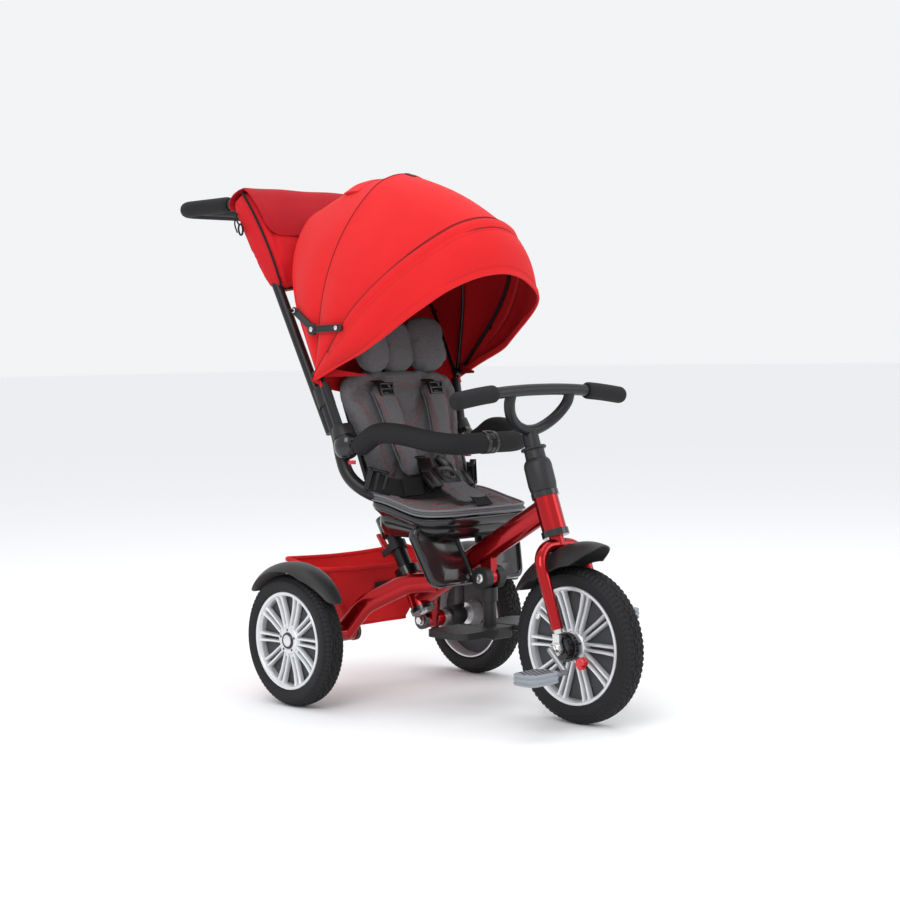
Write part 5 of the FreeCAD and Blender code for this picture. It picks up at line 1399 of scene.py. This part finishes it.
front = -backIn
for side, word in ((-1, "Right"), (1, "Left")):
    centres = [(66, 206, -4), (64, 178, -15), (60, 136, -19), (54, 96, -20), (48, 58, -21), (44, 24, -22)]
    halves = [25.0, 26.5, 26.5, 26.0, 25.0, 24.0]
    spine = curve([backAt(side * x, up, depth) for x, up, depth in centres], 7)
    wide = [h.x for h in curve([Vector((h, 0, 0)) for h in halves], 7)]
    bm = bmesh.new()
    rings = []
    edges = ([], [])
    for k, point in enumerate(spine):
        near = min(k, len(spine) - 1 - k)
        gain = min(1.0, 0.55 + near * 0.18)
        half = wide[k] * gain / 1000.0
        ring = []
        for m in range(28):
            angle = 2 * math.pi * m / 28
            c, s = math.cos(angle), math.sin(angle)
            a = math.copysign(abs(c) ** 0.55, c) * half
            b = math.copysign(abs(s) ** 0.8, s) * 0.0062 * min(1.0, 0.6 + near * 0.1)
            curl = 0.006 * (a / 0.037) ** 2
            ring.append(point + Vector((a, 0, 0)) + front * (b - curl))
        rings.append(ring)
        for index, way in enumerate((-1, 1)):
            edges[index].append(point + Vector((way * half, 0, 0)) - front * (0.006 * (half / 0.037) ** 2))
    loft(bm, rings)
    shoulder = addPiece("shoulderPad" + word, bm, None, ["greyCloth"])
    inflate(shoulder, 0.0036, 0.0035, None, pressure=5.0, shrink=-0.03)
    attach(shoulder, "seat")
    padSurface = surfaceOf(shoulder)
    bm = bmesh.new()
    outline = edges[0] + list(reversed(edges[1]))
    sweep(bm, resample(outline, 110, loop=True), circle(0.0014, 8), loop=True)
    addPiece("shoulderPiping" + word, bm, "seat", ["greyCloth"])
    bm = bmesh.new()
    for index, way in enumerate((1, -1)):
        for inset in (0.0075, 0.0105):
            line = [point + Vector((way * inset, 0, 0)) + front * 0.006 for point in edges[index][3:-3]]
            stitchRow(bm, line, padSurface, 0.0036, 0.0024, 0.00045)
    addPiece("shoulderStitches" + word, bm, "seat", ["redThread"])

    # The shoulder strap with its ladder buckle, and the wide lap strap with a square adjuster.
    bm = bmesh.new()
    run = [backAt(side * 66, 222, 6), backAt(side * 66, 214, -8), backAt(side * 65, 192, -19),
           backAt(side * 63, 168, -24)]
    strap(bm, run, [front] * len(run), 0.026)
    tail = [backAt(side * 43, 34, -21), backAt(side * 38, 16, -28), backAt(side * 26, -2, -42)]
    strap(bm, tail, [front] * len(tail), 0.026)
    lap = [pt(side * x, y, z) for x, y, z in ((134, -92, 428), (131, -108, 425), (112, -128, 413),
            (82, -146, 408), (50, -158, 411), (22, -168, 418))]
    lapWays = [Vector((side * x, y, z)).normalized() for x, y, z in ((0.95, -0.3, 0.1), (0.8, -0.6, 0.2),
            (0.55, -0.75, 0.3), (0.35, -0.75, 0.5),
            (0.2, -0.7, 0.6), (0.1, -0.65, 0.7))]
    strap(bm, lap, lapWays, 0.036)
    fold = [pt(side * x, y, z) for x, y, z in ((88, -147, 410), (66, -157, 411), (52, -163, 412),
            (50, -160, 409))]
    strap(bm, fold, [lapWays[3]] * 4, 0.037)
    addPiece("webbing" + word, bm, "seat", ["webbing"])

    bm = bmesh.new()
    ladder = backAt(side * 64.5, 196, -22.5)
    for shift in (-0.0105, 0.0, 0.0105):
        boxShape(bm, ladder + backUp * shift, Vector((1, 0, 0)), backUp, (0.034, 0.0042, 0.0048), 0.001)
    for edge in (-1, 1):
        boxShape(bm, ladder + Vector((edge * 0.0155, 0, 0)), Vector((1, 0, 0)), backUp,
                 (0.0042, 0.026, 0.0050), 0.001)
    adjuster = pt(side * 126, -115, 422)
    slant = (lap[3] - lap[1]).normalized()
    tall = (Vector((0, 0, 1)) - slant * slant.z).normalized()
    for shift in (-0.016, 0.016):
        boxShape(bm, adjuster + slant * shift, slant, tall, (0.0060, 0.046, 0.009), 0.0016)
    for shift in (-0.021, 0.021):
        boxShape(bm, adjuster + tall * shift, slant, tall, (0.034, 0.0055, 0.009), 0.0014)
    boxShape(bm, adjuster, slant, tall, (0.0060, 0.040, 0.008), 0.0012)
    addPiece("strapBuckles" + word, bm, "seat", ["buckleBlack"])

# The five-way buckle lies low in front of the cushion, facing up and ahead.
bm = bmesh.new()
centre = pt(0, -172, 424)
buckleFace = Vector((0, -0.62, 0.78)).normalized()
buckleUp = Vector((0, 0.78, 0.62)).normalized()
outline = roundRect(0.030, -0.028, 0.028, 0.015, 6)
rings = []
for depth, gain in ((-0.010, 0.86), (-0.006, 0.98), (0.0, 1.0), (0.005, 0.97), (0.0085, 0.88),
                    (0.0098, 0.72)):
    rings.append([centre + Vector((x * gain, 0, 0)) + buckleUp * (z * gain) + buckleFace * depth for x,
                  z in outline])
loft(bm, rings)
lathe(bm, [(8.0, 8.5), (11.2, 9.2), (12.4, 11.0), (12.4, 13.0), (11.2, 14.4), (8.0, 15.0)], centre,
      buckleFace, 36)
lathe(bm, [(6.0, 0.05), (11.6, 7.0), (11.6, 8.0), (6.0, 8.2)], centre, buckleFace, 30)
for side in (-1, 1):
    low = centre + Vector((side * 0.038, 0, 0)) - buckleUp * 0.006
    boxShape(bm, low, Vector((1, 0, 0)), buckleUp, (0.030, 0.042, 0.012), 0.003)
    high = centre + Vector((side * 0.026, 0, 0)) + buckleUp * 0.036
    boxShape(bm, high, Vector((1, side * 0.4, 0)), buckleUp, (0.030, 0.040, 0.011), 0.003)
    boxShape(bm, high + buckleUp * 0.022 + Vector((side * 0.006, 0, 0)), Vector((1, side * 0.3, 0)),
             buckleUp, (0.036, 0.007, 0.013), 0.002)
boxShape(bm, centre - buckleUp * 0.033, Vector((1, 0, 0)), buckleUp, (0.034, 0.016, 0.010), 0.003)
addPiece("harnessBuckle", bm, "seat", ["buckleBlack"], sharp=40)

# A broad tongue runs under the buckle to a slot near the front of the seat.
bm = bmesh.new()
tongueSpine = curve([pt(0, -262, 386), pt(0, -240, 391), pt(0, -214, 399), pt(0, -190, 409),
                     pt(0, -166, 417), pt(0, -148, 420)], 6)
rings = []
for k, point in enumerate(tongueSpine):
    near = min(k, len(tongueSpine) - 1 - k)
    half = 0.038 * min(1.0, 0.62 + near * 0.10)
    across = []
    for m in range(28):
        angle = 2 * math.pi * m / 28
        c, s = math.cos(angle), math.sin(angle)
        across.append(point + Vector((math.copysign(abs(c) ** 0.6, c) * half, 0, 0))
                      + Vector((0, -0.40, 0.92)) * (math.copysign(abs(s) ** 0.8, s) * 0.0060))
    rings.append(across)
loft(bm, rings)
crotchPad = addPiece("crotchPad", bm, None, ["greyCloth"])
inflate(crotchPad, 0.0036, 0.0035, None, pressure=5.0, shrink=-0.03)
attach(crotchPad, "seat")
crotchSurface = surfaceOf(crotchPad)
bm = bmesh.new()
for side in (-1, 1):
    stitchRow(bm, [point + Vector((side * 0.030, 0, 0.008)) for point in tongueSpine[3:-3]], crotchSurface,
              0.0038, 0.0026, 0.0005)
addPiece("crotchStitches", bm, "seat", ["redThread"])
bm = bmesh.new()
strap(bm, [pt(0, -276, 378), pt(0, -266, 388), pt(0, -250, 396), pt(0, -232, 400), pt(0, -210, 408)],
      [Vector((0, -0.7, 0.7)), Vector((0, -0.6, 0.8)), Vector((0, -0.4, 0.92)), Vector((0, -0.4, 0.92)),
       Vector((0, -0.4, 0.92))], 0.040)
addPiece("crotchStrap", bm, "seat", ["webbing"])
print("seat done")


# Bag on the push bar.
poleWay = Vector((0, math.sin(math.radians(28.6)), math.cos(math.radians(28.6))))
bagAhead = Vector((0, -math.cos(math.radians(28.6)), math.sin(math.radians(28.6))))
bagTop = pt(0, 7 + (968 - 552) * math.tan(math.radians(28.6)), 968)


def bagAt(x, down, ahead):
    return bagTop + Vector((x / 1000.0, 0, 0)) - poleWay * (down / 1000.0) + bagAhead * (ahead / 1000.0)


bagRows = [(-9, 160, 12, -8), (-6, 170, 25, -13), (1, 176, 32, -17), (24, 177, 38, -18), (55, 176, 42, -18),
           (90, 174, 44, -17),
           (125, 171, 43, -17), (160, 167, 39, -16), (182, 163, 33, -15), (196, 157, 26, -12),
           (203, 146, 14, -6)]
bm = bmesh.new()
rings = []
for down, half, ahead, back in bagRows:
    ring = []
    for x, f in roundRect(half, back, ahead, min(12.0, (ahead - back) / 2.2), 6):
        wave = 1.6 * math.sin(x * 0.045 + down * 0.03) * (1 if f > 0 else 0.3)
        ring.append(bagAt(x, down + (1.5 * math.sin(x * 0.03) if down > 180 else 0), f + wave))
    rings.append(ring)
loft(bm, rings)
bagBody = addPiece("bagBody", bm, None, ["bagCloth"])


def onBagSeam(co):
    spot = co - bagTop
    x, down = abs(spot.x) * 1000, -spot.dot(poleWay) * 1000
    edge = min((abs(down - row[0]), row[1]) for row in bagRows)[1]
    return down < -2 or x > edge - 7


inflate(bagBody, 0.0065, 0.0032, onBagSeam, pressure=3.0, shrink=-0.05)
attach(bagBody, "push_bar")
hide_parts("bag")

bm = bmesh.new()
rings = []
columns = 48
flapRows = [(8, -20), (-4, -20), (-12, -11), (-14, 4), (-12, 20), (-7, 36), (4, 43.5)]
flapRows += [(16 + k * 9.2, 47.5 + 4.5 * math.sin(k * 0.28)) for k in range(11)]
for down, ahead in flapRows:
    ring = []
    for k in range(columns + 1):
        u = -1.0 + 2.0 * k / columns
        half = 178.0 - 0.07 * max(0, down)
        reach = 108.0
        if abs(u) > 0.80:
            reach -= 30.0 * (1 - math.sqrt(max(0.0, 1 - ((abs(u) - 0.80) / 0.20) ** 2)))
        low = down if down < 16 else 16 + (down - 16) * (reach - 16) / 92.0
        curl = 1.5 * max(0.0, (abs(u) - 0.94) / 0.06) ** 2
        ring.append(bagAt(half * u, low, ahead - curl + 1.2 * math.sin(u * 9 + low * 0.05)))
    rings.append(ring)
loft(bm, rings, wrap=False)
bagFlap = addPiece("bagFlap", bm, None, ["bagFlap"])
solidify(bagFlap, 0.0024, 0.0)
for face in bagFlap.data.polygons:
    face.use_smooth = True
bagFlap.data.set_sharp_from_angle(angle=math.radians(50))
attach(bagFlap, "push_bar")
declareSheet(bagFlap, rings)
flapSurface = surfaceOf(bagFlap)

bm = bmesh.new()
line = [bagAt(-half - 0.5, down, ahead - 6) for down, half, ahead, back in bagRows[1:]]
line += [bagAt(x, 204.0, 10.0) for x in (-110, -55, 0, 55, 110)]
line += [bagAt(half + 0.5, down, ahead - 6) for down, half, ahead, back in reversed(bagRows[1:])]
sweep(bm, resample(curve(line, 5), 170), circle(0.0024, 8))
addPiece("bagPiping", bm, "push_bar", ["webbing"])
bm = bmesh.new()
inner = [ring[2] for ring in rings[6:]] + rings[-2][3:-3] + [ring[-3] for ring in reversed(rings[6:])]
stitchRow(bm, inner, flapSurface, 0.0038, 0.0026, 0.0005)
addPiece("bagStitches", bm, "push_bar", ["darkRedThread"])

# Zipper pulls: an oval loop and a short cord on each gusset.
bm = bmesh.new()
for side in (-1, 1):
    loop = []
    for k in range(24):
        angle = 2 * math.pi * k / 24
        loop.append(bagAt(side * (181.5 + 2.0 * math.cos(angle)), 60 + 12 * math.cos(angle),
                          -10 + 7.0 * math.sin(angle)))
    sweep(bm, loop, circle(0.0019, 8), loop=True)
    sweep(bm, curve([bagAt(side * 178, 24, -8), bagAt(side * 183, 36, -10), bagAt(side * 182, 48, -10)], 6),
          circle(0.0016, 8))
    sweep(bm, curve([bagAt(side * 178, 26, -12), bagAt(side * 184, 42, -18), bagAt(side * 182, 60, -22)],
                    6), circle(0.0015, 8))
addPiece("bagZipPulls", bm, "push_bar", ["webbing"])
print("bag done")

# Basket.
def basketRing(level, inset, rise=0.0):
    halfFront, halfRear = 74 + 78 * level - inset, 74 + 84 * level - inset
    front, rear = 28 - 26 * level + inset, 102 + 26 * level - inset
    corners = [Vector((halfRear, rear, 0)), Vector((-halfRear, rear, 0)), Vector((-halfFront, front, 0)),
               Vector((halfFront, front, 0))]
    ring = []
    for index in range(4):
        before, corner, after = corners[index - 1], corners[index], corners[(index + 1) % 4]
        soft = 12.0
        first = corner + (before - corner).normalized() * soft
        last = corner + (after - corner).normalized() * soft
        for k in range(5):
            t = k / 4.0
            point = first.lerp(corner, t).lerp(corner.lerp(last, t), t)
            ring.append((point, 0.0))
        target = after + (corner - after).normalized() * soft
        for k in range(1, 16):
            t = k / 16.0
            ring.append((last.lerp(target, t), math.sin(math.pi * t)))
    middle = Vector((0, 65, 0))
    out = []
    for point, bow in ring:
        inward = (middle - point).normalized()
        pull = bow * 5.5 * math.sin(math.pi * min(1.0, level * 0.9 + 0.08)) + 0.8 * math.sin(point.x * 0.09
                + level * 5) * bow
        spot = point + inward * pull
        front = min(1.0, max(0.0, (95.0 - spot.y) / 75.0))
        out.append(pt(spot.x, spot.y, 128 + 134 * level + rise - (bow * 5.0 + front * 13.0) * level ** 2))
    return out


bm = bmesh.new()
levels = [0.0, 0.02, 0.06, 0.14, 0.25, 0.38, 0.5, 0.62, 0.74, 0.85, 0.93, 1.0]
rings = [basketRing(0.0, 30.0), basketRing(0.0, 6.0)] + [basketRing(level, 0.0) for level in levels[1:]]
rings += [basketRing(level, 2.2) for level in reversed(levels[2:])] + [basketRing(0.0, 8.0, 2.6),
        basketRing(0.0, 30.0, 2.4)]
loft(bm, rings)
basketShell = addPiece("basketShell", bm, "frame", ["redCloth"], ["basket"], sharp=60)
bm = bmesh.new()
sweep(bm, basketRing(1.0, 1.0), circle(0.0036, 10, 1.25), loop=True)
sweep(bm, basketRing(0.015, -0.4), circle(0.0020, 8), loop=True)
addPiece("basketRim", bm, "frame", ["redCloth"])
bm = bmesh.new()
basketSurface = surfaceOf(basketShell)
stitchRow(bm, basketRing(0.94, -1.0), basketSurface, 0.0038, 0.0026, 0.0005)
addPiece("basketStitches", bm, "frame", ["darkRedThread"])
print("basket done")


# Bolts, nuts and washers.
bm = bmesh.new()
for side in (-1, 1):
    out = Vector((side, 0, 0))
    face = pt(side * 61.2, -508, 140)
    rod(bm, face, face + out * 0.0018, 0.0115, 32, 0.0004)
    hexNut(bm, face + out * 0.0018, out, 0.0165, 0.0075)
addPiece("forkNuts", bm, "steering", ["zinc"])
bm = bmesh.new()
for side in (-1, 1):
    out = Vector((side, 0, 0))
    screwHead(bm, pt(side * 69.0, -474, 196), out, 0.0058, 0.0032)
addPiece("forkScrews", bm, "steering", ["zinc"])
bm = bmesh.new()
for side in (-1, 1):
    inward = Vector((-side, 0, 0))
    hexNut(bm, pt(side * 86.9, 0, 125), inward, 0.017, 0.007)
seatLow = pt(0, -57 - 69 * math.tan(math.radians(30.8)), 170) - postWay * 0.009
screwHead(bm, seatLow, -postWay, 0.0085, 0.004)
addPiece("frameBolts", bm, "frame", ["zinc"])
bm = bmesh.new()
for side in (-1, 1):
    out = Vector((side, 0, 0))
    screwHead(bm, pt(side * 25.0, -284, 243), out, 0.0095, 0.003)
addPiece("footrestScrews", bm, "footrest", ["zinc"])
print("bolts done")


# Finishes of the parts shown as built.
finishes = {
    "candyRed": "main_tube head_tube rear_arms seat_tube fork footrest_bracket",
    "satinBlack": "seat_post push_bar canopy_rear_rib canopy_mid_rib canopy_front_rib",
    "zinc": "fork_tips rear_axles",
    "steel": "crank",
    "glossBlack": "frame_caps headset_rings",
    "charcoal": "seat_clamp footrest_post foot_plate_right foot_plate_left basket_hanger backrest_shell",
    "redPlastic": "seat_lever release_button_right release_button_left clutch_lever",
}
shown = {node: look for look, nodes in finishes.items() for node in nodes.split()}
for node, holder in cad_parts.items():
    look = shown.get(node, "charcoal")
    for place in holder.material_slots:
        place.link = "OBJECT"
        place.material = mats[look]

# Surroundings.
bm = bmesh.new()
bmesh.ops.create_grid(bm, x_segments=2, y_segments=2, size=60.0)
floorMesh = bpy.data.meshes.new("floor")
bm.to_mesh(floorMesh)
bm.free()
floorLook = bpy.data.materials.new("paleFloor")
floorLook.use_nodes = True
floorLook.node_tree.nodes["Principled BSDF"].inputs["Base Color"].default_value = (0.94, 0.945, 0.95, 1.0)
floorLook.node_tree.nodes["Principled BSDF"].inputs["Roughness"].default_value = 0.9
floorLook.node_tree.nodes["Principled BSDF"].inputs["Specular IOR Level"].default_value = 0.1
floorMesh.materials.append(floorLook)
floor = bpy.data.objects.new("floor", floorMesh)
scene.collection.objects.link(floor)

world = bpy.data.worlds.new("studio")
world.use_nodes = True
world.node_tree.nodes["Background"].inputs["Color"].default_value = (0.97, 0.98, 1.0, 1.0)
world.node_tree.nodes["Background"].inputs["Strength"].default_value = 0.92
scene.world = world

lamps = [
    {"name": "keyLamp", "place": (-2.2, -1.4, 2.4), "aim": (0.0, 0.0, 0.5), "size": 1.6, "power": 34.0},
    {"name": "topLamp", "place": (0.3, 0.2, 3.0), "aim": (0.0, 0.0, 0.5), "size": 2.4, "power": 26.0},
    {"name": "fillLamp", "place": (1.8, -2.6, 1.5), "aim": (0.0, 0.0, 0.5), "size": 1.6, "power": 14.0},
]
for lamp in lamps:
    data = bpy.data.lights.new(lamp["name"], "AREA")
    data.energy = lamp["power"]
    data.size = lamp["size"]
    light = bpy.data.objects.new(lamp["name"], data)
    light.location = lamp["place"]
    light.rotation_euler = (Vector(lamp["aim"]) - Vector(lamp["place"])).to_track_quat("-Z", "Y").to_euler()
    scene.collection.objects.link(light)

# Camera.
camera = {"place": (-2.3639, -2.57355, 0.6605), "heading": 46.36, "pitch": 3.06, "roll": -0.9, "lens": 72.4}
heading, pitch, roll = (math.radians(camera[word]) for word in ("heading", "pitch", "roll"))
ahead = Vector((math.cos(heading), math.sin(heading), 0))
right = Vector((math.sin(heading), -math.cos(heading), 0))
up = Vector((0, 0, 1))
gaze = ahead * math.cos(pitch) - up * math.sin(pitch)
lift = ahead * math.sin(pitch) + up * math.cos(pitch)
acrossView = right * math.cos(roll) + lift * math.sin(roll)
upView = lift * math.cos(roll) - right * math.sin(roll)
cameraData = bpy.data.cameras.new("mainCamera")
cameraData.lens = camera["lens"]
cameraData.sensor_width = 36.0
cameraObject = bpy.data.objects.new("mainCamera", cameraData)
cameraObject.matrix_world = Matrix((
    (acrossView.x, upView.x, -gaze.x, camera["place"][0]),
    (acrossView.y, upView.y, -gaze.y, camera["place"][1]),
    (acrossView.z, upView.z, -gaze.z, camera["place"][2]),
    (0, 0, 0, 1)))
scene.collection.objects.link(cameraObject)
scene.camera = cameraObject
